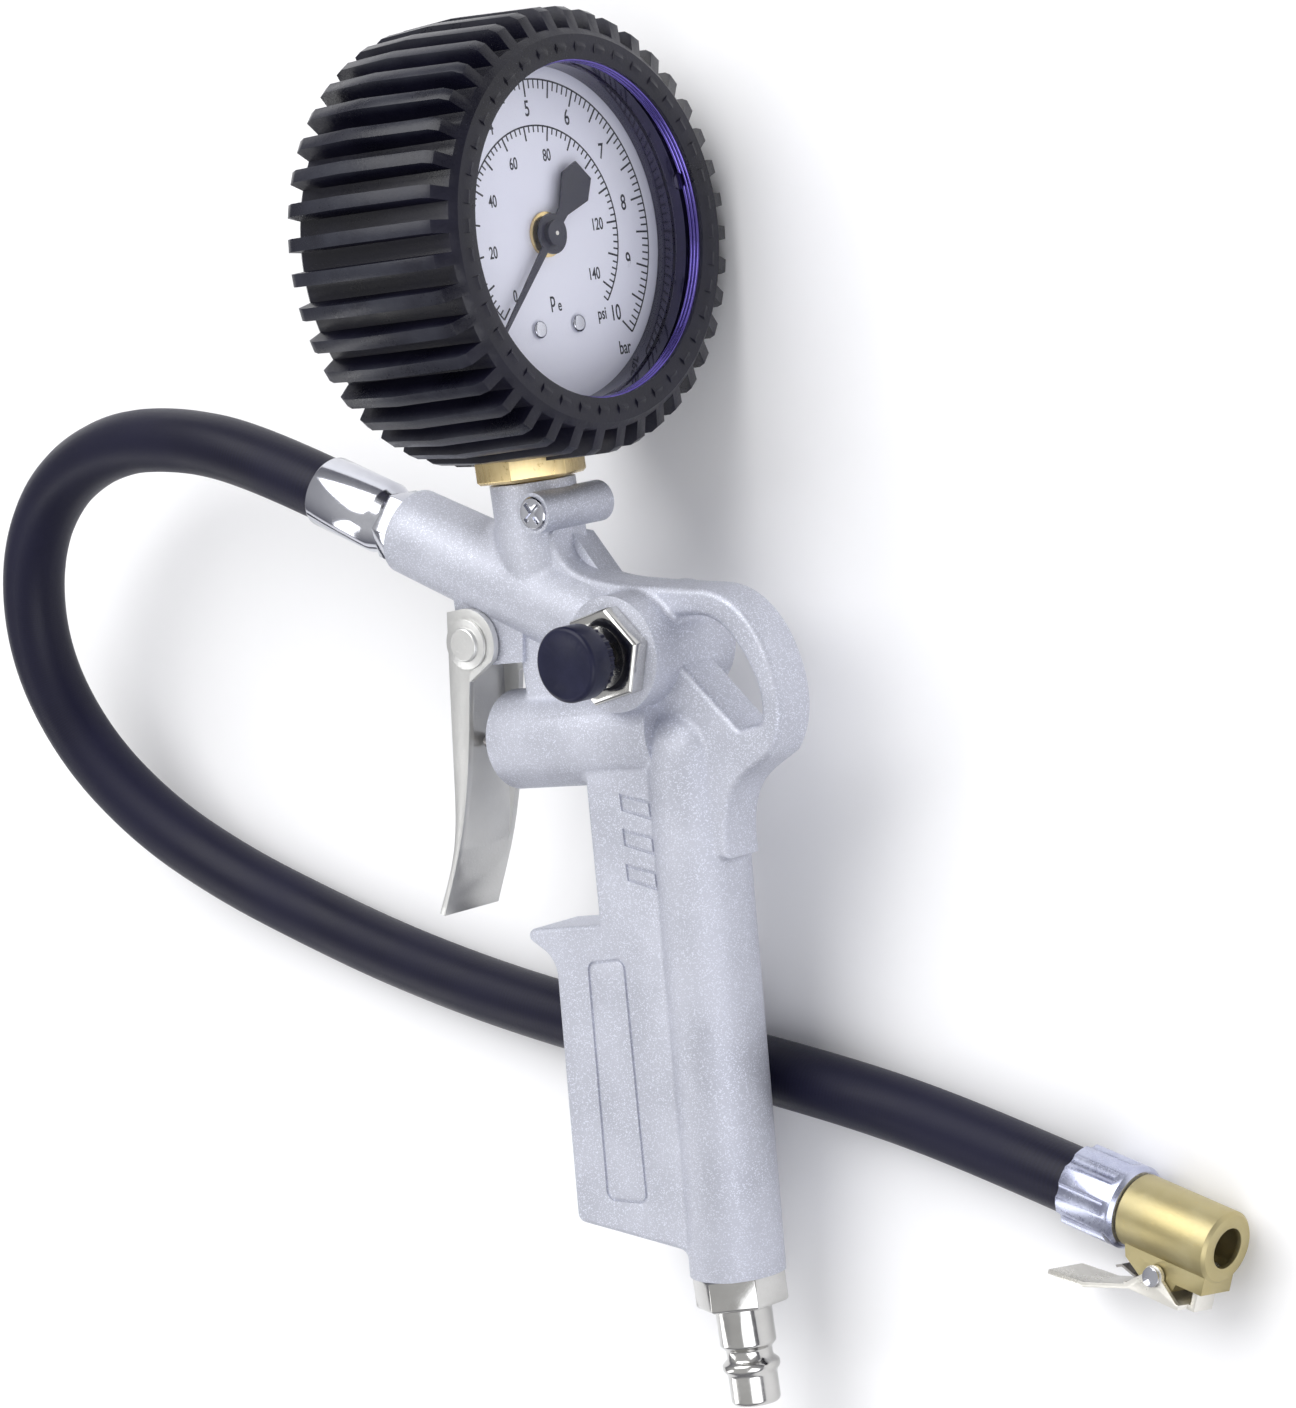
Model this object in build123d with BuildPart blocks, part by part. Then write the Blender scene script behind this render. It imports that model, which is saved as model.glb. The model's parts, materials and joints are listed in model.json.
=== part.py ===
from build123d import *
import os
from math import atan, cos, degrees, pi, radians, sin, sqrt, tan

# Portable tyre inflator: a die-cast pistol grip with a swivelling pressure gauge on top, a trigger valve,
# a push-button deflation valve, a short rubber hose and a clip-on tyre chuck. Millimetres.
#
# Every rigid piece is modelled in the gun's own frame. Its origin is the middle of the gauge, X points
# back towards the hand's heel, Y points up the gauge stem and Z points out of the side with the button.
# The gun then lies down on its right side: GUN_ON_BENCH places that frame in the part's own frame,
# where +Z is up and the bench is Z = 0.

# ---------------------------------------------------------------- how the gun lies
TILT = 6.5  # the grip end sinks by this angle, until it lies on the hose
FIN_TIP = 46.5  # the gauge protector stands on its fins
BOX_MIDDLE_X = 0.35
BOX_MIDDLE_Y = -98.52  # middle of the gun's own box, before the shift to the origin
GUN_ON_BENCH = Location((-BOX_MIDDLE_X, -BOX_MIDDLE_Y, FIN_TIP), (TILT, 0, 0))

# ---------------------------------------------------------------- driving sizes
RUN = 0.06  # radial clearance of a part that turns or slides in a hole

CASE_RADIUS = 39.5  # nominal 80 mm pressure gauge
CASE_SHEET = 0.8
CASE_BACK = -15.0
CASE_FRONT = 14.0
DIAL_X = 12.4
BEZEL_FRONT = 24.6
FIN_COUNT = 40
FIN_THICKNESS = 2.7
POINTER_X = 15.0
ZERO_ANGLE = 135.0  # the pointer at rest, from the top of the dial towards the reader's left
SECTOR_RATIO = 9.0  # turns of the pointer for one of the sector
TOOTH_MODULE = 0.4
PINION_TEETH = 10

HEX_TOP, HEX_BOTTOM = -39.6, -49.5
BLOCK_TOP = -23.0
STEM_FLATS = 20.0
SPIGOT_RADIUS = 6.5
SPIGOT_END = -67.0
LOCK_SCREW_X, LOCK_SCREW_Y = 8.0, -56.0
LOCK_SCREW_RADIUS = 2.5
LOCK_HEAD_RADIUS = 3.5

HUB = (26.6, -85.8)  # axis of the deflation valve
NUT_SEAT = 13.0
NUT_HEIGHT = 4.0
VENT_BORE, VENT_DEPTH = 5.5, 20.0
BUTTON_STROKE = 2.5

BARREL_ANGLE = 156.0  # direction of the hose socket, from +X
BARREL_LENGTH = 68.0
BARREL_RADIUS = 9.3
NIPPLE_THREAD, NIPPLE_DEPTH = 6.5, 14.0
NIPPLE_FLATS = 14.0
NIPPLE_HEX = 5.0
FERRULE_LENGTH = 20.0

VALVE_Y = -103.5
VALVE_RADIUS = 10.5
VALVE_FACE = -14.0
VALVE_BORE, VALVE_DEPTH = 6.0, 36.0
VALVE_SEAT_X = 4.0
PIN_RADIUS = 1.6
PIN_TIP_X = -23.4

PIVOT = (-17.0, -82.0)
LUG_HALF = 6.6
LUG_NOSE = 3.9
TRIGGER_HALF = 8.5
TRIGGER_SHEET = 1.5
TRIGGER_PIN_RADIUS = 2.0

RING_HALF = 5.5
GRIP_RADIUS = 10.0
GRIP_FOOT = (25.3, -217.0)
GRIP_TOP = (33.4, -108.0)
GRIP_HALF = 8.0
BLENDS = [
    ((23.5, -160.8, 8.0), 2.5),  # blade into air tube
    ((-8.0, -60.8, 4.2), 3.0),  # stem socket into hose socket
    ((37.0, -79.8, 0.0), 1.5),  # valve hub into web
    ((9.4, -114.0, 0.0), 2.5),  # valve boss into blade
    ((6.9, -94.6, 5.5), 1.5),  # valve boss into web
    ((41.0, -118.6, 5.5), 2.0),  # ring into air tube
]  # a point beside each blended edge of the casting, and the blend's radius
ENGRAVING = 0.5
GROOVE = 0.7
MARK_PITCH = 7.3
REST_TIP, REST_ROOT, BLADE_FOOT = (-15.8, -142.8), (-6.0, -149.4), (-10.4, -205.0)  # finger rest and blade
INLET_X = 25.3
INLET_FACE = -217.4
INLET_THREAD, INLET_DEPTH = 6.5, 14.0
PLUG_RADIUS = 5.15
PLUG_BORE = 3.5

HOSE_RADIUS = 7.0
HOSE_BORE = 3.6
CHUCK_FERRULE = 14.0
CHUCK_END = 37.0
CHUCK_RADIUS = 7.5
CHUCK_MOUTH, MOUTH_LIP = 4.2, 1.2
SEAL_RADIUS = 4.7
DEPRESSOR_X, DEPRESSOR_RADIUS = 22.0, 4.0
CHUCK_PIVOT = (25.0, -9.6)
CHUCK_FLUTES = 8
LUG_WIDTH = 9.2
EAR_SHEET = 1.0

# Movement inside the gauge, on the YZ plane
PLATE_BACK, PLATE_FRONT, PLATE_SHEET = 0.0, 11.0, 1.2
GEAR_X = 5.0
SECTOR_PIVOT = (-16.0, -12.0)
DIAL_SCREWS = [(-19.0, 6.0), (-19.0, -6.0)]

# The hose's route in the part's own frame: out of its ferrule, down to the bench, round in front of the
# gun, under the grip and out to the chuck.
HOSE_ROUTE = [
    (-58.7, 50.85, 41.07),
    (-79.7, 60.15, 42.13),
    (-102.0, 65.6, 41.6),
    (-127.0, 66.6, 39.0),
    (-150.0, 58.6, 35.6),
    (-164.6, 42.4, 31.4),
    (-169.0, 20.6, 26.4),
    (-162.0, -0.6, 20.6),
    (-147.4, -18.0, 14.6),
    (-128.4, -31.0, 9.6),
    (-105.6, -41.4, 7.1),
    (-80.0, -51.0, 7.0),
    (-50.0, -60.2, 7.0),
    (-16.0, -68.4, 7.0),
    (22.0, -76.0, 7.0),
    (56.0, -84.0, 7.2),
    (84.0, -92.4, 8.4),
    (106.0, -100.0, 9.0),
]


def along(point, angle):
    """Plane across a part whose axis starts at a point and runs along an angle in the gun's XY plane."""
    return Plane(origin=(*point, 0), x_dir=(0, 0, 1), z_dir=(cos(radians(angle)), sin(radians(angle)), 0))


def step(start, angle, distance):
    """Point at a distance from start along an angle in the gun's XY plane."""
    return (start[0] + distance * cos(radians(angle)), start[1] + distance * sin(radians(angle)))


def upright(part):
    """Edges of a plate built on both sides of the XY plane that bound its two faces."""
    return part.edges().filter_by(Plane.XY).filter_by(lambda edge: abs(edge.center().Z) > 1)


BARREL_END = step(HUB, BARREL_ANGLE, BARREL_LENGTH)
EAR_FACE = LUG_WIDTH / 2 + 0.2 + EAR_SHEET  # outer face of the clip's ears
FERRULE_START = step(BARREL_END, BARREL_ANGLE, NIPPLE_HEX)
GRIP_RISE = (GRIP_TOP[0] - GRIP_FOOT[0], GRIP_TOP[1] - GRIP_FOOT[1])
GRIP_ANGLE = degrees(atan(GRIP_RISE[1] / GRIP_RISE[0]))
GRIP_LENGTH = sqrt(GRIP_RISE[0] ** 2 + GRIP_RISE[1] ** 2)
MESH_ANGLE = degrees(atan(SECTOR_PIVOT[1] / SECTOR_PIVOT[0]))  # from the sector's pivot to the pinion
HOSE_DIRECTION = Vector(*HOSE_ROUTE[-1]) - Vector(*HOSE_ROUTE[-2])
CHUCK_PLANE = Plane(origin=HOSE_ROUTE[-1], x_dir=HOSE_DIRECTION, z_dir=Vector(0, 0, 1) - HOSE_DIRECTION * (
    HOSE_DIRECTION.Z / HOSE_DIRECTION.dot(HOSE_DIRECTION)))


# ---------------------------------------------------------------- die-cast gun housing
def grip_blade():
    """Flat blade in front of the air tube, with the finger rest."""
    with BuildPart() as blade:
        with BuildSketch() as outline:
            with BuildLine():
                Polyline(
                    (32, -112), (10, -104), (7.6, -142.2), REST_TIP, REST_ROOT, BLADE_FOOT,
                    (25.0, -212.4), (32, -112),
                )
            make_face()
            for corner, radius in ((REST_TIP, 1.5), (REST_ROOT, 6.0), (BLADE_FOOT, 2.0)):
                fillet(outline.vertices().sort_by_distance((*corner, 0))[0], radius)
        extrude(amount=GRIP_HALF, both=True)
        fillet(upright(blade), 1.3)
    return blade.part


def ring_opening():
    """Outline of the hole that the hanging ring goes round."""
    with BuildSketch() as opening:
        with BuildLine():
            Line((33.0, -79.6), (43.5, -80.0))
            Spline(
                (43.5, -80.0), (52.6, -85.6), (57.0, -95.0), (56.4, -102.6),
                tangents=((1, -0.1), (-0.4, -1)),
            )
            Polyline((56.4, -102.6), (50.6, -103.6), (33.0, -84.6), (33.0, -79.6))
        make_face()
        fillet(opening.vertices(), 1.6)
    return opening.sketch


def ring_plate():
    """Web that carries the valve hub and runs out into the hanging ring."""
    with BuildPart() as plate:
        with BuildSketch():
            with BuildLine():
                Polyline((-6, -100), (-6, -84), (-12, -72), (-4, -60), (8.8, -60), (8.8, -63))
                Spline((8.8, -63), (14.5, -69.6), (31, -73.0), tangents=((0.1, -1), (1, -0.12)))
                Line((31, -73.0), (44, -74.4))
                Spline((44, -74.4), (55.6, -79.6), (61.6, -91.5), (61.4, -103.0), (57.6, -109.6))
                Spline((57.6, -109.6), (47.6, -115.5), (43.0, -130.0), tangents=((-0.9, -0.5), (0, -1)))
                Polyline((43.0, -130.0), (30, -130), (22, -112), (-6, -100))
            make_face()
            add(ring_opening(), mode=Mode.SUBTRACT)
        extrude(amount=RING_HALF, both=True)
        fillet(upright(plate), 1.5)
    return plate.part


def web_shoulders():
    """Thick middle of the web, with drafted sides."""
    with BuildPart() as shoulders:
        with BuildSketch():
            with BuildLine():
                Polyline(
                    (-5, -99), (-5, -84), (-8, -62), (8, -60), (15, -70), (30, -77), (34, -86),
                    (46, -102), (52, -109), (41, -118), (22, -112), (-5, -99),
                )
            make_face()
        extrude(amount=8.5, both=True, taper=12)
    return shoulders.part


def engraving():
    """Grooves in the flat of the grip: three slanted marks and the border of a blank panel."""
    with BuildSketch() as grooves:
        for number in range(3):
            left, top = 18.6 - 0.5 * number, -115.0 - MARK_PITCH * number
            with BuildLine():
                Polyline(
                    (left, top), (left + 8.2, top - 1.9), (left + 8.2, top - 6.0),
                    (left - 0.1, top - 3.6), close=True,
                )
            outer = make_face()
            offset(outer, amount=-GROOVE, kind=Kind.INTERSECTION, mode=Mode.SUBTRACT)
    with BuildSketch() as panel:
        with BuildLine():
            Polyline((3.1, -149.9), (13.7, -149.0), (10.5, -201.2), (-0.9, -200.4), close=True)
        make_face()
        fillet(panel.vertices(), 2.2)
        offset(amount=-GROOVE, mode=Mode.SUBTRACT)
    with BuildPart() as cutter:
        for side in (1, -1):
            with BuildSketch(Plane.XY.offset(side * (GRIP_HALF - ENGRAVING))):
                add(grooves.sketch)
                add(panel.sketch)
            extrude(amount=side * 4)
    return cutter.part


def gun_body():
    """Housing with every socket and bore."""
    blade, plate, shoulders, grooves = grip_blade(), ring_plate(), web_shoulders(), engraving()
    with BuildPart() as body:
        add(blade)
        add(plate)
        add(shoulders)
        # air tube down the back of the grip
        with BuildSketch(along(GRIP_FOOT, GRIP_ANGLE)):
            Circle(GRIP_RADIUS)
        extrude(amount=GRIP_LENGTH)
        with Locations((*GRIP_TOP, 0)):
            Sphere(GRIP_RADIUS)
        # socket of the gauge stem
        with BuildSketch(Plane.ZX.offset(HEX_BOTTOM - 0.4)):
            Circle(9.0)
        extrude(amount=-24)
        # cross boss of the lock screw
        with BuildSketch(Plane.XY.offset(-10.5)):
            with Locations((LOCK_SCREW_X, LOCK_SCREW_Y)):
                Circle(4.3)
        extrude(amount=20.5)
        # hose socket
        with BuildSketch(along(HUB, BARREL_ANGLE)):
            Circle(10.4)
        with BuildSketch(along(BARREL_END, BARREL_ANGLE)):
            Circle(BARREL_RADIUS)
        loft()
        # hub of the deflation valve
        with BuildSketch(Plane.XY.offset(-12)):
            with Locations(HUB):
                Circle(12.0)
        extrude(amount=12 + NUT_SEAT)
        # boss of the inlet valve
        with BuildSketch(Plane.YZ.offset(VALVE_FACE)):
            with Locations((VALVE_Y, 0)):
                Circle(VALVE_RADIUS)
        extrude(amount=44)
        # trigger lug
        with BuildSketch():
            with BuildLine():
                Polyline(
                    (-20.9, -72), (-20.9, -82), (-17, -85.9), (-14, -86.9), (-4, -86.8), (-2, -76),
                    close=True,
                )
            make_face()
            with Locations(PIVOT):
                Circle(LUG_NOSE)
        extrude(amount=LUG_HALF, both=True)
        for beside, radius in BLENDS:
            fillet(body.edges().sort_by_distance(beside)[0], radius)
        # flat foot for the plug's hexagon
        with Locations((INLET_X, INLET_FACE - 10, 0)):
            Box(40, 20, 40, mode=Mode.SUBTRACT)
        # socket and lock screw bore of the gauge stem
        with BuildSketch(Plane.ZX.offset(HEX_BOTTOM)):
            Circle(SPIGOT_RADIUS + RUN)
        extrude(amount=SPIGOT_END - HEX_BOTTOM - 1.0, mode=Mode.SUBTRACT)
        with BuildSketch(Plane.XY.offset(-12)):
            with Locations((LOCK_SCREW_X, LOCK_SCREW_Y)):
                Circle(LOCK_SCREW_RADIUS)
        extrude(amount=24, mode=Mode.SUBTRACT)
        with BuildSketch(Plane.XY.offset(8.6)):
            with Locations((LOCK_SCREW_X, LOCK_SCREW_Y)):
                Circle(LOCK_HEAD_RADIUS)
        extrude(amount=4, mode=Mode.SUBTRACT)
        # threaded socket of the hose nipple
        with BuildSketch(along(BARREL_END, BARREL_ANGLE)):
            Circle(NIPPLE_THREAD)
        extrude(amount=-NIPPLE_DEPTH, mode=Mode.SUBTRACT)
        # chamber of the inlet valve
        with BuildSketch(Plane.YZ.offset(VALVE_FACE)):
            with Locations((VALVE_Y, 0)):
                Circle(VALVE_BORE)
        extrude(amount=VALVE_DEPTH, mode=Mode.SUBTRACT)
        # chamber of the deflation valve
        with BuildSketch(Plane.XY.offset(NUT_SEAT)):
            with Locations(HUB):
                Circle(VENT_BORE)
        extrude(amount=-VENT_DEPTH, mode=Mode.SUBTRACT)
        # pivot hole and inlet socket
        with BuildSketch(Plane.XY.offset(-8)):
            with Locations(PIVOT):
                Circle(TRIGGER_PIN_RADIUS)
        extrude(amount=16, mode=Mode.SUBTRACT)
        with BuildSketch(Plane.ZX.offset(INLET_FACE)):
            with Locations((0, INLET_X)):
                Circle(INLET_THREAD)
        extrude(amount=INLET_DEPTH, mode=Mode.SUBTRACT)
        add(grooves, mode=Mode.SUBTRACT)
    body.part.label = "gun_body"
    return body


# ---------------------------------------------------------------- fittings on the housing
def inlet_plug():
    """Quick-coupling plug at the foot of the grip, with a through bore."""
    top = INLET_FACE - 6.5
    with BuildPart() as plug:
        with BuildSketch(Plane.ZX.offset(INLET_FACE)):
            with Locations((0, INLET_X)):
                RegularPolygon(17.0 / 2, 6, major_radius=False)
        extrude(amount=top - INLET_FACE)
        chamfer(plug.edges().group_by(Axis.Y)[0], 0.5)
        with BuildSketch():
            with BuildLine():
                x = INLET_X
                Polyline(
                    (x, INLET_FACE + 12), (x + 6.45, INLET_FACE + 12), (x + 6.45, INLET_FACE),
                    (x + 5.9, INLET_FACE), (x + 5.9, top - 8.0), (x + 4.8, top - 9.2),
                    (x + 4.8, top - 11.0), (x + 6.0, top - 12.1), (x + 6.0, top - 13.2),
                    (x + PLUG_RADIUS, top - 14.4), (x + PLUG_RADIUS, top - 20.0), (x + 4.6, top - 20.7),
                    (x, top - 20.7), (x, INLET_FACE + 12),
                )
            make_face()
        revolve(axis=Axis((INLET_X, 0, 0), (0, 1, 0)))
        with BuildSketch(Plane.ZX.offset(top - 22)):
            with Locations((0, INLET_X)):
                Circle(PLUG_BORE)
        extrude(amount=44, mode=Mode.SUBTRACT)
    plug.part.label = "inlet_plug"
    return plug


def lock_screw():
    """Cross-slotted screw that holds the gauge stem in its socket and lets it turn."""
    with BuildPart() as screw:
        with BuildSketch(Plane.XY.offset(-10.3)):
            with Locations((LOCK_SCREW_X, LOCK_SCREW_Y)):
                Circle(LOCK_SCREW_RADIUS)
        extrude(amount=19)
        with BuildSketch(Plane.XY.offset(8.6)):
            with Locations((LOCK_SCREW_X, LOCK_SCREW_Y)):
                Circle(LOCK_HEAD_RADIUS - 0.05)
        extrude(amount=1.9)
        chamfer(screw.edges().group_by(Axis.Z)[-1], 0.3)
        with BuildSketch(Plane.XY.offset(9.7)):
            with Locations((LOCK_SCREW_X, LOCK_SCREW_Y)):
                Rectangle(5.2, 1.0, rotation=35)
                Rectangle(1.0, 5.2, rotation=35)
        extrude(amount=2, mode=Mode.SUBTRACT)
    screw.part.label = "swivel_lock_screw"
    return screw


def hose_nipple():
    """Hexagon nipple between the housing and the hose, with a barbed tail inside the hose."""
    axis = Axis((*BARREL_END, 0), (cos(radians(BARREL_ANGLE)), sin(radians(BARREL_ANGLE)), 0))
    with BuildPart() as nipple:
        with BuildSketch(along(BARREL_END, BARREL_ANGLE)):
            RegularPolygon(NIPPLE_FLATS / 2, 6, major_radius=False)
        extrude(amount=NIPPLE_HEX)
        with BuildSketch(along(BARREL_END, BARREL_ANGLE)):
            Circle(NIPPLE_THREAD)
        extrude(amount=-NIPPLE_DEPTH + 1)
        for number in range(4):
            with BuildSketch(along(step(FERRULE_START, BARREL_ANGLE, 4.0 * number), BARREL_ANGLE)):
                Circle(HOSE_BORE - 0.1)
            with BuildSketch(along(step(FERRULE_START, BARREL_ANGLE, 4.0 * number + 4.0), BARREL_ANGLE)):
                Circle(3.1)
            loft()
        with BuildSketch(along(step(BARREL_END, BARREL_ANGLE, -NIPPLE_DEPTH), BARREL_ANGLE)):
            Circle(2.2)
        extrude(amount=NIPPLE_DEPTH + NIPPLE_HEX + 20, mode=Mode.SUBTRACT)
    nipple.part.label = "hose_nipple"
    return nipple


def hose_ferrule():
    """Crimped sleeve that holds the hose on its nipple."""
    with BuildPart() as ferrule:
        with BuildSketch(along(FERRULE_START, BARREL_ANGLE)):
            Circle(6.6)
        with BuildSketch(along(step(FERRULE_START, BARREL_ANGLE, 3.5), BARREL_ANGLE)):
            Circle(7.8)
        loft()
        with BuildSketch(along(step(FERRULE_START, BARREL_ANGLE, 3.5), BARREL_ANGLE)):
            Circle(7.8)
        extrude(amount=FERRULE_LENGTH - 3.5)
        with BuildSketch(along(FERRULE_START, BARREL_ANGLE)):
            Circle(HOSE_BORE + 0.2)
        extrude(amount=FERRULE_LENGTH, mode=Mode.SUBTRACT)
        with BuildSketch(along(step(FERRULE_START, BARREL_ANGLE, 4.0), BARREL_ANGLE)):
            Circle(HOSE_RADIUS + 0.1)
        extrude(amount=FERRULE_LENGTH, mode=Mode.SUBTRACT)
    ferrule.part.label = "hose_ferrule"
    return ferrule


# ---------------------------------------------------------------- inlet valve and trigger
def valve_gland():
    """Nut on the front of the valve boss, with the valve's seat at its inner end."""
    with BuildPart() as gland:
        with BuildSketch():
            with BuildLine():
                Polyline(
                    (-15.6, VALVE_Y + PIN_RADIUS + RUN), (-15.6, VALVE_Y + 6.6), (-15.1, VALVE_Y + 7.1),
                    (VALVE_FACE, VALVE_Y + 7.1), (VALVE_FACE, VALVE_Y + VALVE_BORE - 0.03),
                    (VALVE_SEAT_X, VALVE_Y + VALVE_BORE - 0.03), (VALVE_SEAT_X, VALVE_Y + 4.4),
                    (-8.0, VALVE_Y + 3.6), (-8.0, VALVE_Y + PIN_RADIUS + RUN),
                    (-15.6, VALVE_Y + PIN_RADIUS + RUN),
                )
            make_face()
        revolve(axis=Axis((0, VALVE_Y, 0), (1, 0, 0)))
    gland.part.label = "valve_gland"
    return gland


def valve_pin():
    """Push pin that the trigger presses, with a collar behind the poppet."""
    with BuildPart() as pin:
        with BuildSketch():
            with BuildLine():
                Polyline(
                    (PIN_TIP_X, VALVE_Y), (PIN_TIP_X, VALVE_Y + 1.2),
                    (PIN_TIP_X + 0.4, VALVE_Y + PIN_RADIUS), (6.6, VALVE_Y + PIN_RADIUS),
                    (6.6, VALVE_Y + 3.0), (7.6, VALVE_Y + 3.0), (7.6, VALVE_Y + PIN_RADIUS),
                    (11.0, VALVE_Y + PIN_RADIUS), (11.0, VALVE_Y), (PIN_TIP_X, VALVE_Y),
                )
            make_face()
        revolve(axis=Axis((0, VALVE_Y, 0), (1, 0, 0)))
    pin.part.label = "valve_pin"
    return pin


def valve_poppet():
    """Rubber disc on the pin that closes the seat."""
    with BuildPart() as poppet:
        with BuildSketch(Plane.YZ.offset(VALVE_SEAT_X + 0.1)):
            with Locations((VALVE_Y, 0)):
                Circle(5.4)
                Circle(PIN_RADIUS, mode=Mode.SUBTRACT)
        extrude(amount=2.5)
    poppet.part.label = "valve_poppet"
    return poppet


def coil_spring(label, foot, radius, pitch, height, wire):
    """Spring of round wire that stands on a plane."""
    with BuildPart() as spring:
        with BuildLine() as route:
            Helix(pitch, height, radius, center=foot.origin, direction=foot.z_dir)
        with BuildSketch(Plane(origin=route.line @ 0, z_dir=route.line % 0)):
            Circle(wire)
        sweep(is_frenet=True)
    spring.part.label = label
    return spring


def valve_spring():
    """Spring that returns the valve pin and the trigger."""
    return coil_spring(
        "valve_spring", Plane(origin=(8.6, VALVE_Y, 0), z_dir=(1, 0, 0)), 3.2, 2.6, 12.2, 0.45,
    )


def trigger_pin():
    """Rivet through the lug that the trigger turns on."""
    with BuildPart() as pin:
        with BuildSketch(Plane.XY.offset(-10.2)):
            with Locations(PIVOT):
                Circle(TRIGGER_PIN_RADIUS)
        extrude(amount=20.4)
        for face, up in ((8.6, 1), (-8.6, -1)):
            with BuildSketch(Plane.XY.offset(face)):
                with Locations(PIVOT):
                    Circle(5.3)
            extrude(amount=0.7 * up)
            with BuildSketch(Plane.XY.offset(face + 0.7 * up)):
                with Locations(PIVOT):
                    Circle(3.6)
            extrude(amount=0.9 * up)
        fillet(pin.edges().group_by(Axis.Z)[-1] + pin.edges().group_by(Axis.Z)[0], 0.5)
    pin.part.label = "trigger_pin"
    return pin


def trigger_side(half):
    """Side outline of the trigger, extruded to a half width."""
    with BuildPart() as side:
        with BuildSketch():
            with BuildLine():
                Line((-21.6, -75.0), (-24.4, -95.0))
                Spline(
                    (-24.4, -95.0), (-26.4, -110.0), (-29.8, -126.0), (-36.2, -138.6),
                    tangents=((-0.14, -1), (-0.55, -1)),
                )
                Line((-36.2, -138.6), (-34.9, -139.2))
                Spline(
                    (-34.9, -139.2), (-28.4, -126.4), (-22.0, -108.0), (-18.0, -90.0),
                    tangents=((0.5, 1), (0.22, 1)),
                )
                Line((-18.0, -90.0), (-11.0, -86.0))
                ThreePointArc((-11.0, -86.0), (-10.4, -78.4), (-17.6, -74.6))
                Line((-17.6, -74.6), (-21.6, -75.0))
            make_face()
        extrude(amount=half, both=True)
    return side.part


def trigger_hollow():
    """Space inside the trigger's channel, open towards the grip."""
    with BuildPart() as hollow:
        with BuildSketch():
            with BuildLine():
                Line((-20.0, -70.0), (-22.9, -95.0))
                Spline(
                    (-22.9, -95.0), (-24.9, -110.0), (-28.2, -126.0), (-34.2, -138.0),
                    tangents=((-0.14, -1), (-0.5, -1)),
                )
                Polyline((-34.2, -138.0), (-30.0, -142.0), (0, -120), (0, -70), (-20.0, -70.0))
            make_face()
        extrude(amount=TRIGGER_HALF - TRIGGER_SHEET, both=True)
    return hollow.part


def trigger():
    """Pressed channel: a front web, two cheeks with pivot ears and a curled tip."""
    shape, hollow = trigger_side(TRIGGER_HALF), trigger_hollow()
    with BuildPart() as lever:
        add(shape)
        add(hollow, mode=Mode.SUBTRACT)
        # the web stops short of the hose socket
        with BuildSketch():
            with Locations((-24, -72)):
                Rectangle(12, 13)
        extrude(amount=TRIGGER_HALF - TRIGGER_SHEET, both=True, mode=Mode.SUBTRACT)
        with BuildSketch(Plane.XY.offset(-10)):
            with Locations(PIVOT):
                Circle(TRIGGER_PIN_RADIUS + RUN)
        extrude(amount=20, mode=Mode.SUBTRACT)
    lever.part.label = "trigger"
    return lever


# ---------------------------------------------------------------- deflation valve
def vent_nut():
    """Hexagon nut that closes the deflation valve's chamber and guides its stem."""
    with BuildPart() as nut:
        with BuildSketch(Plane.XY.offset(NUT_SEAT)):
            with Locations(HUB):
                RegularPolygon(18.0 / 2, 6, major_radius=False, rotation=12)
        extrude(amount=NUT_HEIGHT)
        chamfer(nut.edges().group_by(Axis.Z)[-1], 0.5)
        with BuildSketch(Plane.XY.offset(NUT_SEAT)):
            with Locations(HUB):
                Circle(VENT_BORE - 0.03)
        extrude(amount=-5.0)
        with BuildSketch(Plane.XY.offset(NUT_SEAT - 6)):
            with Locations(HUB):
                Circle(2.0 + RUN)
        extrude(amount=12, mode=Mode.SUBTRACT)
        with BuildSketch(Plane.XY.offset(NUT_SEAT + 1.5)):
            with Locations(HUB):
                Circle(6.4)
                Circle(2.9, mode=Mode.SUBTRACT)
        extrude(amount=4, mode=Mode.SUBTRACT)
    nut.part.label = "vent_nut"
    return nut


def vent_stem():
    """Stem of the deflation valve, from the button down to its poppet."""
    x, y = HUB
    with BuildPart() as stem:
        with BuildSketch(Plane.XZ.offset(-y)):
            with BuildLine():
                Polyline((x, -3.0), (x + 2.0, -3.0), (x + 2.0, 24.0), (x, 24.0), (x, -3.0))
            make_face()
        revolve(axis=Axis((x, y, 0), (0, 0, 1)))
    stem.part.label = "vent_stem"
    return stem


def vent_poppet():
    """Rubber disc at the foot of the stem, closed against the nut's sleeve by air and spring."""
    with BuildPart() as poppet:
        with BuildSketch(Plane.XY.offset(NUT_SEAT - 7.6)):
            with Locations(HUB):
                Circle(4.4)
                Circle(2.0, mode=Mode.SUBTRACT)
        extrude(amount=2.5)
    poppet.part.label = "vent_poppet"
    return poppet


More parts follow.
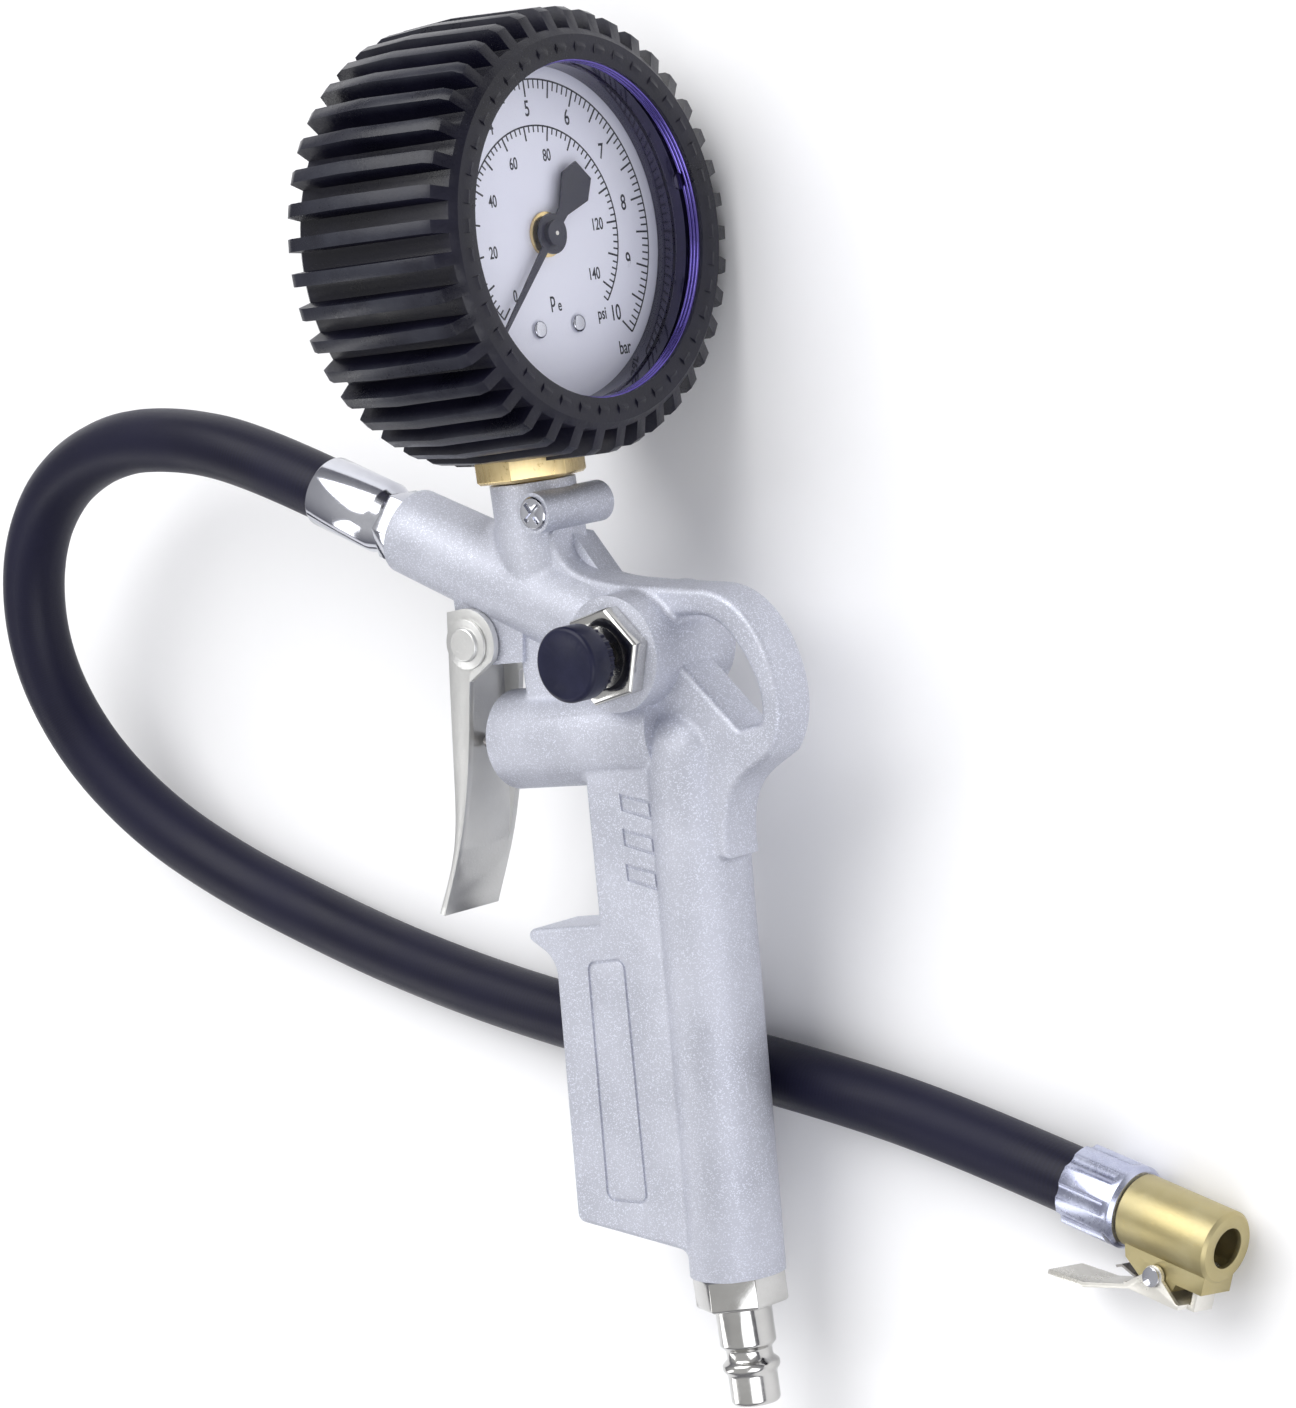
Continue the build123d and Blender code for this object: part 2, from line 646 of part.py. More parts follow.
def vent_button():
    """Round button with a dished face and a ribbed neck."""
    x, y = HUB
    under = NUT_SEAT + NUT_HEIGHT + BUTTON_STROKE + 0.3
    with BuildPart() as button:
        with BuildSketch(Plane.XZ.offset(-y)):
            with BuildLine():
                Polyline(
                    (x + 2.0, under), (x + 6.6, under), (x + 6.6, 22.4), (x + 7.8, 22.4), (x + 7.8, 26.6),
                )
                ThreePointArc((x + 7.8, 26.6), (x + 7.5, 27.3), (x + 6.8, 27.6))
                Polyline(
                    (x + 6.8, 27.6), (x + 3.6, 27.0), (x, 26.8), (x, 24.0), (x + 2.0, 24.0),
                    (x + 2.0, under),
                )
            make_face()
        revolve(axis=Axis((x, y, 0), (0, 0, 1)))
        with BuildSketch(Plane.XY.offset(20.0)):
            with Locations(HUB):
                with PolarLocations(6.6, 24):
                    Circle(0.4)
        extrude(amount=2.4)
    button.part.label = "vent_button"
    return button


def vent_spring():
    """Spring that lifts the deflation button."""
    return coil_spring("vent_spring", Plane(origin=(*HUB, -6.4)), 3.0, 2.4, 11.2, 0.4)


# ---------------------------------------------------------------- pressure gauge
def gauge_stem():
    """Brass stem: hexagon, swivel spigot with its seal and lock grooves, and the block inside the case."""
    with BuildPart() as stem:
        with BuildSketch(Plane.ZX.offset(HEX_BOTTOM)):
            RegularPolygon(STEM_FLATS / 2, 6, major_radius=False, rotation=20)
        extrude(amount=HEX_TOP - HEX_BOTTOM)
        chamfer(stem.edges().group_by(Axis.Y)[0], 0.6)
        with BuildSketch():
            with BuildLine():
                Polyline(
                    (0, HEX_BOTTOM), (SPIGOT_RADIUS, HEX_BOTTOM), (SPIGOT_RADIUS, LOCK_SCREW_Y + 2.7),
                    (5.3, LOCK_SCREW_Y + 2.7), (5.3, LOCK_SCREW_Y - 2.7),
                    (SPIGOT_RADIUS, LOCK_SCREW_Y - 2.7), (SPIGOT_RADIUS, -60.6), (5.0, -60.6),
                    (5.0, -62.6), (SPIGOT_RADIUS, -62.6), (SPIGOT_RADIUS, SPIGOT_END), (0, SPIGOT_END),
                    (0, HEX_BOTTOM),
                )
            make_face()
        revolve(axis=Axis.Y)
        with BuildSketch(Plane.ZX.offset(HEX_TOP)):
            Circle(6.0)
        extrude(amount=6.0)
        with BuildSketch(Plane.ZX.offset(HEX_TOP + 6.0)):
            Rectangle(14, 10)
        extrude(amount=BLOCK_TOP - HEX_TOP - 6.0)
        with BuildSketch(Plane.ZX.offset(SPIGOT_END - 1)):
            Circle(2.0)
        extrude(amount=38, mode=Mode.SUBTRACT)
    stem.part.label = "gauge_stem"
    return stem


def swivel_seal():
    """O-ring in the stem's groove."""
    with BuildPart() as seal:
        with BuildSketch():
            with Locations((5.75, -61.6)):
                Circle(0.74)
        revolve(axis=Axis.Y)
    seal.part.label = "swivel_seal"
    return seal


def gauge_case():
    """Pressed steel cup round the movement, with a hole for the stem."""
    with BuildPart() as case:
        with BuildSketch(Plane.YZ.offset(CASE_BACK)):
            Circle(CASE_RADIUS)
        extrude(amount=CASE_FRONT - CASE_BACK)
        fillet(case.edges().group_by(Axis.X)[0], 2.0)
        with BuildSketch(Plane.YZ.offset(CASE_BACK + CASE_SHEET)):
            Circle(CASE_RADIUS - CASE_SHEET)
        extrude(amount=CASE_FRONT - CASE_BACK, mode=Mode.SUBTRACT)
        with BuildSketch(Plane.ZX.offset(-CASE_RADIUS - 2)):
            Circle(6.05)
        extrude(amount=8, mode=Mode.SUBTRACT)
    case.part.label = "gauge_case"
    return case


def gauge_bezel():
    """Ring that clamps the lens, stepped down to the dial."""
    with BuildPart() as bezel:
        with BuildSketch():
            with BuildLine():
                Polyline(
                    (CASE_FRONT + 0.05, CASE_RADIUS), (BEZEL_FRONT, CASE_RADIUS), (BEZEL_FRONT, 35.4),
                    (23.0, 35.0), (22.6, 35.6), (22.6, 37.0), (20.4, 37.0), (20.4, 35.6), (17.6, 35.4),
                    (17.4, 34.9), (DIAL_X + 1.0, 34.7), (DIAL_X + 1.0, 38.6), (CASE_FRONT + 0.05, 38.6),
                    (CASE_FRONT + 0.05, CASE_RADIUS),
                )
            make_face()
        revolve(axis=Axis.X)
    bezel.part.label = "gauge_bezel"
    return bezel


def gauge_lens():
    """Clear lens held in the bezel's groove."""
    with BuildPart() as lens:
        with BuildSketch(Plane.YZ.offset(20.5)):
            Circle(36.9)
        extrude(amount=2.0)
    lens.part.label = "gauge_lens"
    return lens


def gauge_dial():
    """Dial plate with a hole for the pointer's arbor."""
    with BuildPart() as dial:
        with BuildSketch(Plane.YZ.offset(DIAL_X)):
            Circle(38.5)
            Circle(2.2, mode=Mode.SUBTRACT)
            with Locations(*DIAL_SCREWS):
                Circle(1.2, mode=Mode.SUBTRACT)
        extrude(amount=0.8)
    dial.part.label = "gauge_dial"
    return dial


def dial_screws():
    """Two domed screws that hold the dial on the movement plate."""
    with BuildPart() as screws:
        with BuildSketch(Plane.YZ.offset(PLATE_FRONT + 0.05)):
            with Locations(*DIAL_SCREWS):
                Circle(1.15)
        extrude(amount=DIAL_X + 0.85 - PLATE_FRONT)
        with BuildSketch(Plane.YZ.offset(DIAL_X + 0.85)):
            with Locations(*DIAL_SCREWS):
                Circle(1.9)
        extrude(amount=0.9)
        chamfer(screws.edges().group_by(Axis.X)[-1], 0.4)
    screws.part.label = "dial_screws"
    return screws


def movement_frame():
    """Two plates and their pillars, which carry the arbor and the sector."""
    with BuildPart() as frame:
        for start in (PLATE_BACK, PLATE_FRONT - PLATE_SHEET):
            with BuildSketch(Plane.YZ.offset(start)):
                with Locations((-6.5, -2)):
                    RectangleRounded(33, 26, 3)
                with Locations((0, 0), SECTOR_PIVOT):
                    Circle(1.0 + RUN, mode=Mode.SUBTRACT)
            extrude(amount=PLATE_SHEET)
        with BuildSketch(Plane.YZ.offset(PLATE_BACK)):
            with Locations((7, 8), (7, -12), (-20, 8)):
                Circle(1.6)
        extrude(amount=PLATE_FRONT - PLATE_BACK)
    frame.part.label = "movement_frame"
    return frame


def bourdon_tube():
    """Flattened tube bent round the movement, which opens with the pressure."""
    start = radians(195)
    with BuildPart() as tube:
        with BuildSketch(Plane(origin=(0, 0, 0), x_dir=(1, 0, 0), z_dir=(0, -sin(start), cos(start)))):
            with Locations((-2.5, 30.0)):
                SlotOverall(11.0, 3.0)
        revolve(axis=Axis.X, revolution_arc=240)
    tube.part.label = "bourdon_tube"
    return tube


def gear_tooth(teeth):
    """One straight-sided tooth on the +X side of a gear with the given number of teeth."""
    pitch = TOOTH_MODULE * teeth / 2
    root, tip = pitch - 1.3 * TOOTH_MODULE, pitch + 0.8 * TOOTH_MODULE
    middle = pi * TOOTH_MODULE / 4 - 0.05
    slope = tan(radians(20))
    with BuildSketch() as tooth:
        with BuildLine():
            Polyline(
                (root - 0.3, -middle - slope * (pitch - root)),
                (root, -middle - slope * (pitch - root)), (tip, -middle + slope * (tip - pitch)),
                (tip, middle - slope * (tip - pitch)), (root, middle + slope * (pitch - root)),
                (root - 0.3, middle + slope * (pitch - root)), close=True,
            )
        make_face()
    return tooth.sketch


def pointer_arbor():
    """Shaft of the pointer, with its pinion."""
    tooth = gear_tooth(PINION_TEETH)
    with BuildPart() as arbor:
        with BuildSketch(Plane.YZ.offset(PLATE_BACK - 0.6)):
            Circle(1.0)
        extrude(amount=POINTER_X - 0.6 - PLATE_BACK + 0.6)
        with BuildSketch(Plane.YZ.offset(GEAR_X - 0.2)):
            Circle(TOOTH_MODULE * (PINION_TEETH / 2 - 1.3))
            with PolarLocations(0, PINION_TEETH, start_angle=MESH_ANGLE + 180 + 180 / PINION_TEETH):
                add(tooth)
        extrude(amount=1.6)
    arbor.part.label = "pointer_arbor"
    return arbor


def sector_gear():
    """Toothed sector on its own arbor, which turns the pinion."""
    teeth = PINION_TEETH * SECTOR_RATIO
    tooth = gear_tooth(teeth)
    pitch_angle = 360 / teeth
    rim = TOOTH_MODULE * (teeth / 2 - 1.3)
    first, last = MESH_ANGLE - 9 * pitch_angle, MESH_ANGLE + 2 * pitch_angle
    with BuildPart() as sector:
        with BuildSketch(Plane(origin=(GEAR_X, *SECTOR_PIVOT), x_dir=(0, 1, 0), z_dir=(1, 0, 0))):
            with BuildLine():
                edge = CenterArc((0, 0), rim, first, last - first)
                Polyline(edge @ 1, (0, 0), edge @ 0)
            make_face()
            Circle(2.6)
            with PolarLocations(0, 11, first + pitch_angle, 10 * pitch_angle, endpoint=True):
                add(tooth)
        extrude(amount=1.2)
        with BuildSketch(Plane.YZ.offset(PLATE_BACK - 0.6)):
            with Locations(SECTOR_PIVOT):
                Circle(1.0)
        extrude(amount=PLATE_FRONT - PLATE_BACK + 1.2)
    sector.part.label = "sector_gear"
    return sector


def pointer():
    """Needle with a round hub and a broad tail, at rest on zero."""
    zero = radians(ZERO_ANGLE)
    face = Plane(origin=(POINTER_X, 0, 0), x_dir=(0, sin(zero), -cos(zero)), z_dir=(1, 0, 0))
    with BuildPart() as needle:
        with BuildSketch(face):
            Circle(4.2)
            with BuildLine():
                Polyline(
                    (1.0, 0), (0.3, 29.5), (-0.3, 29.5), (-1.0, 0), (-1.4, -6), (-4.6, -12.5),
                    (-2.8, -17.0), (2.8, -17.0), (4.6, -12.5), (1.4, -6), close=True,
                )
            make_face()
        extrude(amount=0.5)
        with BuildSketch(Plane.YZ.offset(POINTER_X - 0.6)):
            Circle(2.6)
        extrude(amount=2.2)
    needle.part.label = "pointer"
    return needle


def gauge_fin():
    """One fin of the protector: X away from the gauge's axis, Z along it."""
    with BuildPart() as fin:
        with BuildSketch(Plane.XZ):
            with BuildLine():
                Polyline(
                    (40.4, -16.5), (44.6, -16.5), (45.6, -14.6), (FIN_TIP, -1.0), (45.8, 21.4),
                    (44.8, 23.4), (37.0, 26.6), (35.6, 26.0), (40.4, 24.9), close=True,
                )
            make_face()
        extrude(amount=FIN_THICKNESS / 2, both=True)
    return fin.part


def gauge_cap():
    """Rubber protector: a sleeve over the case and bezel with a lip at each end and fins all round."""
    fin = gauge_fin()
    with BuildPart(Plane.YZ) as cap:
        with BuildSketch(Plane.XY):
            with BuildLine():
                Polyline(
                    (-17.4, 33.0), (-17.4, 40.2), (-16.4, 41.0), (24.8, 41.0), (26.1, 39.6),
                    (26.1, 34.5), (24.7, 34.5), (24.7, 39.6), (CASE_BACK - 0.1, 39.6),
                    (CASE_BACK - 0.1, 33.0), close=True,
                )
            make_face()
        revolve(axis=Axis.X)
        with PolarLocations(0, FIN_COUNT, start_angle=270 - TILT):
            add(fin)
        with BuildSketch(Plane.ZX.offset(-35)):
            Circle(12.4)
        extrude(amount=-14, mode=Mode.SUBTRACT)
    cap.part.label = "gauge_cap"
    return cap


# ---------------------------------------------------------------- hose
def corner_radii(points):
    """Radius of each corner's arc: 0.45 of its shorter run over the tangent of half the turn."""
    radii = []
    for before, corner, after in zip(points, points[1:], points[2:]):
        run_in, run_out = Vector(*corner) - Vector(*before), Vector(*after) - Vector(*corner)
        turn = radians(run_in.get_angle(run_out))
        radii.append(0.45 * min(run_in.length, run_out.length) / tan(turn / 2))
    return radii


def hose():
    """Rubber hose along its route, with the ends that its two ferrules grip."""
    radii = corner_radii(HOSE_ROUTE)
    print("hose arc radii, mm:", [round(radius) for radius in radii])
    with BuildPart() as tube:
        with BuildLine() as route:
            FilletPolyline(*HOSE_ROUTE, radius=radii)
        with BuildSketch(Plane(origin=route.line @ 0, z_dir=route.line % 0)):
            Circle(HOSE_RADIUS)
            Circle(HOSE_BORE, mode=Mode.SUBTRACT)
        sweep()
        swept = tube.part.volume
        for end, way, depth in ((0, 1, FERRULE_LENGTH - 4.05), (1, -1, CHUCK_FERRULE - 3)):
            with BuildSketch(Plane(origin=route.line @ end, z_dir=(route.line % end) * -way)):
                Circle(HOSE_RADIUS)
                Circle(HOSE_BORE, mode=Mode.SUBTRACT)
            extrude(amount=depth)
    length = route.wires()[0].length
    print("hose length, mm:", round(length, 1), "volume over section times length:",
          round(swept / (pi * (HOSE_RADIUS**2 - HOSE_BORE**2) * length), 4))
    tube.part.label = "hose"
    return tube


# ---------------------------------------------------------------- clip-on chuck, X along it from the hose
def chuck_ferrule():
    """Fluted sleeve that holds the hose on the chuck's tail."""
    with BuildPart() as ferrule:
        with BuildSketch(Plane.YZ):
            Circle(8.6)
        extrude(amount=CHUCK_FERRULE)
        chamfer(ferrule.edges().group_by(Axis.X)[-1], 0.8)
        with BuildSketch(Plane.YZ):
            with PolarLocations(10.6, CHUCK_FLUTES):
                Circle(2.6)
        extrude(amount=CHUCK_FERRULE - 2.5, mode=Mode.SUBTRACT)
        with BuildSketch(Plane.YZ):
            Circle(HOSE_RADIUS + 0.1)
        extrude(amount=CHUCK_FERRULE - 3, mode=Mode.SUBTRACT)
        with BuildSketch(Plane.YZ):
            Circle(HOSE_BORE + 0.2)
        extrude(amount=CHUCK_FERRULE, mode=Mode.SUBTRACT)
    ferrule.part.label = "chuck_ferrule"
    return ferrule


def chuck_body():
    """Brass body with a tail for the hose, a mouth for the tyre valve and a slotted lug for the clip."""
    with BuildPart() as chuck:
        with BuildSketch(Plane.YZ.offset(CHUCK_FERRULE)):
            Circle(CHUCK_RADIUS)
        extrude(amount=CHUCK_END - CHUCK_FERRULE)
        chamfer(chuck.edges().group_by(Axis.X)[-1] + chuck.edges().group_by(Axis.X)[0], 0.7)
        with BuildSketch(Plane.YZ.offset(2.0)):
            Circle(HOSE_BORE - 0.1)
        extrude(amount=CHUCK_FERRULE)
        with BuildSketch(Plane.XY):
            with BuildLine():
                Polyline(
                    (15.4, -4.0), (16.8, -8.4), (21.6, -11.3), (29.4, -11.3), (30.0, -9.6),
                    (36.4, -9.6), (36.4, -4.0), close=True,
                )
            make_face()
        extrude(amount=LUG_WIDTH / 2, both=True)
        # mouth with its lip, the chamber of the seal and the seat of the depressor
        with BuildSketch(Plane.YZ.offset(CHUCK_END - MOUTH_LIP)):
            Circle(CHUCK_MOUTH)
        extrude(amount=MOUTH_LIP + 1, mode=Mode.SUBTRACT)
        with BuildSketch(Plane.YZ.offset(DEPRESSOR_X + 1)):
            Circle(SEAL_RADIUS)
        extrude(amount=CHUCK_END - MOUTH_LIP - DEPRESSOR_X - 1, mode=Mode.SUBTRACT)
        with BuildSketch(Plane.YZ.offset(DEPRESSOR_X)):
            Circle(DEPRESSOR_RADIUS)
        extrude(amount=2, mode=Mode.SUBTRACT)
        with BuildSketch(Plane.YZ.offset(1)):
            Circle(1.9)
        extrude(amount=24, mode=Mode.SUBTRACT)
        with BuildSketch(Plane.XY):
            with Locations((33.7, -7)):
                Rectangle(4.2, 9)
        extrude(amount=3.2, both=True, mode=Mode.SUBTRACT)
        with BuildSketch(Plane.XY.offset(-6)):
            with Locations(CHUCK_PIVOT):
                Circle(1.2)
        extrude(amount=12, mode=Mode.SUBTRACT)
    chuck.part.label = "chuck_body"
    return chuck


def chuck_depressor():
    """Perforated disc at the bottom of the mouth, with the pin that opens the tyre valve."""
    with BuildPart() as depressor:
        with BuildSketch(Plane.YZ.offset(DEPRESSOR_X)):
            Circle(DEPRESSOR_RADIUS)
            with PolarLocations(1.9, 3):
                Circle(0.6, mode=Mode.SUBTRACT)
        extrude(amount=1.0)
        with BuildSketch(Plane.YZ.offset(DEPRESSOR_X + 1)):
            Circle(0.9)
        extrude(amount=5.5)
    depressor.part.label = "chuck_depressor"
    return depressor


def chuck_seal():
    """Rubber washer in the mouth, which grips the tyre valve."""
    with BuildPart() as seal:
        with BuildSketch(Plane.YZ.offset(DEPRESSOR_X + 1)):
            Circle(SEAL_RADIUS)
            Circle(2.6, mode=Mode.SUBTRACT)
        extrude(amount=4.0)
    seal.part.label = "chuck_seal"
    return seal


def chuck_pin():
    """Rivet that the clip turns on."""
    with BuildPart() as pin:
        with BuildSketch(Plane.XY.offset(-EAR_FACE - 0.3)):
            with Locations(CHUCK_PIVOT):
                Circle(1.2)
        extrude(amount=2 * EAR_FACE + 0.6)
        for side in (1, -1):
            with BuildSketch(Plane.XY.offset(side * (EAR_FACE + RUN))):
                with Locations(CHUCK_PIVOT):
                    Circle(2.0)
            extrude(amount=0.7 * side)
    pin.part.label = "chuck_pin"
    return pin


def clip_profile():
    """Centre profile of the clip's plate, from the thumb end to the claw."""
    with BuildSketch() as profile:
        with BuildLine():
            Polyline(
                (20.0, -13.9), (9.2, -17.6), (-0.5, -18.4), (-0.5, -17.4), (9.0, -16.6), (20.0, -12.9),
                close=True,
            )
        make_face()
    return profile.sketch


def chuck_lever():
    """Spring clip: a thumb plate, two ears on the rivet and a claw that reaches the tyre valve's thread."""
    thumb = clip_profile()
    with BuildPart() as lever:
        with BuildSketch():
            add(thumb)
        extrude(amount=EAR_FACE, both=True)
        with BuildSketch():
            with BuildLine():
                Polyline((18.5, -13.9), (32.5, -13.9), (32.5, -12.9), (18.5, -12.9), close=True)
            make_face()
        extrude(amount=EAR_FACE, both=True)
        # claw
        with BuildSketch():
            with BuildLine():
                Polyline(
                    (31.0, -13.9), (34.4, -13.9), (34.4, -4.9), (33.2, -4.5), (33.2, -12.9),
                    (31.0, -12.9), close=True,
                )
            make_face()
        extrude(amount=2.9, both=True)
        # ears
        for side in (1, -1):
            with BuildSketch(Plane.XY.offset(side * EAR_FACE)):
                with BuildLine():
                    Polyline((18.5, -13.4), (32.5, -13.4), (27.2, -9.6), (22.8, -9.6), close=True)
                make_face()
                with Locations(CHUCK_PIVOT):
                    Circle(2.3)
            extrude(amount=-side * EAR_SHEET)
        with BuildSketch(Plane.XY.offset(-8)):
            with Locations(CHUCK_PIVOT):
                Circle(1.2 + RUN)
        extrude(amount=16, mode=Mode.SUBTRACT)
        # the thumb plate narrows towards the rivet
        with BuildSketch(Plane.XZ.offset(8)):
            with BuildLine():
                Polyline((-1, 5.0), (-1, 9), (17, 9), (17, EAR_FACE), (9, EAR_FACE), close=True)
            make_face()
            mirror(about=Plane.XY)
        extrude(amount=14, mode=Mode.SUBTRACT)
    lever.part.label = "chuck_lever"
    return lever


def chuck_spring():
    """Leaf spring riding on the clip, which presses against the body when the clip opens."""
    with BuildPart() as spring:
        with BuildSketch():
            with BuildLine():
                Polyline(
                    (21.0, -12.85), (15.3, -11.3), (14.2, -11.9), (13.8, -11.5), (15.2, -10.8),
                    (21.0, -12.35), close=True,
                )
            make_face()
        extrude(amount=3.0, both=True)
    spring.part.label = "chuck_spring"
    return spring


# ---------------------------------------------------------------- main
GUN_PIECES = [
    gun_body, inlet_plug, lock_screw, hose_nipple, hose_ferrule, valve_gland, valve_pin, valve_poppet,
    valve_spring,
    trigger_pin, trigger, vent_nut, vent_stem, vent_poppet, vent_button, vent_spring, gauge_stem, swivel_seal,
    gauge_case, gauge_bezel, gauge_lens, gauge_dial, dial_screws, movement_frame, bourdon_tube, pointer_arbor,
    sector_gear, pointer, gauge_cap,
]
CHUCK_PIECES = [
    chuck_ferrule, chuck_body, chuck_depressor, chuck_seal, chuck_pin, chuck_lever, chuck_spring,
]


def write(piece, place):
    """Put a piece where it lies and write its STEP file."""
    piece.part.move(place)
    export_step(piece.part, f"parts/{piece.part.label}.step")


if __name__ == "__main__":
    os.makedirs("parts", exist_ok=True)
    for make in GUN_PIECES:
        write(make(), GUN_ON_BENCH)
    for make in CHUCK_PIECES:
        write(make(), CHUCK_PLANE.location)
    write(hose(), Location())
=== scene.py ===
import json
import logging
from dataclasses import dataclass, field
from enum import Enum
from math import cos, pi, radians, sin
from typing import Callable, Optional, Sequence

import bpy
from mathutils import Euler, Matrix, Vector


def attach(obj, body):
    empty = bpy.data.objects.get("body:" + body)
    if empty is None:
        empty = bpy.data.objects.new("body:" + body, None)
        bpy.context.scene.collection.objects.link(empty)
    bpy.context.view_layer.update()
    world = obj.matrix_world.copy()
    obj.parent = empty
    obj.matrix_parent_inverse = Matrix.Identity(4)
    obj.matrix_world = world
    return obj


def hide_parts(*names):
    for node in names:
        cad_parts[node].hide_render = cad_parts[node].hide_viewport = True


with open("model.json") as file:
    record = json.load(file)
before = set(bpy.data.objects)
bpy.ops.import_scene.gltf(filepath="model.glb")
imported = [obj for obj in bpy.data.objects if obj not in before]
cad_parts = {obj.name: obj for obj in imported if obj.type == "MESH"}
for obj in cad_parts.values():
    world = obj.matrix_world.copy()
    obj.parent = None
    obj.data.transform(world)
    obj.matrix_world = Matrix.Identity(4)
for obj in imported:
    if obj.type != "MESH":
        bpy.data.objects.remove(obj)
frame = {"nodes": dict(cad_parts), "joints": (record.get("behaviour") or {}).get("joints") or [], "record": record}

log = logging.getLogger("tyre_inflator")

MM = 0.001
JOINTS = {joint["name"]: joint for joint in frame["joints"]}
BODY_OF = {node: body for body, nodes in frame["record"]["behaviour"]["bodies"].items() for node in nodes}
SLOT_OF = {part["node"]: part["material_slot"] for part in frame["record"]["subparts"]}
PATCH_SHARE = 0.4  # part of the roughness that follows the patches, the rest follows the grain
ROUGHNESS_SPAN = (0.25, 0.75)  # range of that mixture that spans a finish's two roughnesses


# ---------------------------------------------------------------- the gun's own frame
@dataclass(frozen=True)
class GunFrame:
    """Axes of the gun where it lies.

    x points to the hand's heel, y up the gauge stem and z out of the button's side.
    """

    centre: Vector
    x: Vector
    y: Vector
    z: Vector

    @classmethod
    def from_joints(cls) -> "GunFrame":
        """Read the axes from the pointer's, the swivel's and the trigger's joints."""
        return cls(
            centre=Vector(JOINTS["pointer_turn"]["pos_m"]),
            x=-Vector(JOINTS["pointer_turn"]["axis"]),
            y=Vector(JOINTS["gauge_swivel"]["axis"]),
            z=Vector(JOINTS["trigger_pull"]["axis"]),
        )

    def at(self, x: float, y: float, z: float) -> Vector:
        """Place of a point of the gun, given in millimetres."""
        return self.centre + (self.x * x + self.y * y + self.z * z) * MM

    def dial_matrix(self, lift: float) -> Matrix:
        """Transform from a drawing on the XY plane to the dial's face.

        Args:
            lift: Height of the drawing from the gauge's centre, in millimetres.

        Returns:
            A matrix that turns the drawing's up to the stem's upward axis.
        """
        turn = Matrix((-self.z, self.y, self.x)).transposed().to_4x4()
        return Matrix.Translation(self.at(lift, 0, 0)) @ turn


GUN = GunFrame.from_joints()


# ---------------------------------------------------------------- shader helpers
class Coords(Enum):
    """Where a pattern is anchored."""

    OBJECT = "Object"
    UV = "UV"


@dataclass
class Board:
    """A node tree with short calls to add and join its nodes."""

    tree: bpy.types.NodeTree

    def add(self, kind: str, **settings: object) -> bpy.types.Node:
        """Add a node and set its properties.

        Args:
            kind: Blender's name of the node type.
            settings: Properties of the node and their values.

        Returns:
            The new node.
        """
        node = self.tree.nodes.new(kind)
        for name, value in settings.items():
            setattr(node, name, value)
        return node

    def join(self, source: bpy.types.NodeSocket, target: bpy.types.NodeSocket) -> None:
        """Link an output to an input."""
        self.tree.links.new(source, target)

    def math(self, operation: str, first: object, second: object = 0.0) -> bpy.types.NodeSocket:
        """Add a maths node.

        Args:
            operation: Name of the operation.
            first: Socket or number.
            second: Socket or number.

        Returns:
            The node's output.
        """
        node = self.add("ShaderNodeMath", operation=operation)
        for socket, value in zip(node.inputs, (first, second)):
            self.feed(value, socket)
        return node.outputs[0]

    def feed(self, value: object, socket: bpy.types.NodeSocket) -> None:
        """Link a socket to an input, or set the input to a plain value.

        Args:
            value: Socket, number or colour.
            socket: Input that takes it.
        """
        if isinstance(value, bpy.types.NodeSocket):
            self.join(value, socket)
        else:
            socket.default_value = value

    def span(self, value: bpy.types.NodeSocket, low: float, high: float, out_low: float,
             out_high: float) -> bpy.types.NodeSocket:
        """Map a range of values to another, clamped.

        Args:
            value: Socket to map.
            low: Lower end of its range.
            high: Upper end of its range.
            out_low: What the lower end becomes.
            out_high: What the upper end becomes.

        Returns:
            The mapped value.
        """
        node = self.add("ShaderNodeMapRange")
        self.join(value, node.inputs["Value"])
        limits = {"From Min": low, "From Max": high, "To Min": out_low, "To Max": out_high}
        for name, number in limits.items():
            node.inputs[name].default_value = number
        return node.outputs["Result"]

    def blend(self, mask: bpy.types.NodeSocket, first: object, second: object) -> bpy.types.NodeSocket:
        """Mix two colours by a mask.

        Args:
            mask: Share of the second colour.
            first: Socket or colour where the mask is zero.
            second: Socket or colour where the mask is one.

        Returns:
            The mixed colour.
        """
        node = self.add("ShaderNodeMix", data_type="RGBA")
        self.join(mask, node.inputs["Factor"])
        self.feed(first, node.inputs["A"])
        self.feed(second, node.inputs["B"])
        return node.outputs["Result"]


def rgba(colour: Sequence[float]) -> tuple[float, float, float, float]:
    """Give a colour an alpha of one."""
    return (*colour[:3], 1.0)


@dataclass(frozen=True)
class Effect:
    """A shader node group that several finishes share."""

    name: str
    inputs: tuple[tuple[str, str, object], ...]
    outputs: tuple[tuple[str, str], ...]
    draw: Callable[[Board, bpy.types.Node, bpy.types.Node], None]

    def group(self) -> bpy.types.NodeTree:
        """Find the group, or make it with its named sockets.

        Returns:
            The node group.
        """
        found = bpy.data.node_groups.get(self.name)
        if found:
            return found
        tree = bpy.data.node_groups.new(self.name, "ShaderNodeTree")
        for name, kind, value in self.inputs:
            socket = tree.interface.new_socket(name, in_out="INPUT", socket_type=kind)
            if value is not None:
                socket.default_value = value
        for name, kind in self.outputs:
            tree.interface.new_socket(name, in_out="OUTPUT", socket_type=kind)
        board = Board(tree)
        self.draw(board, board.add("NodeGroupInput"), board.add("NodeGroupOutput"))
        return tree


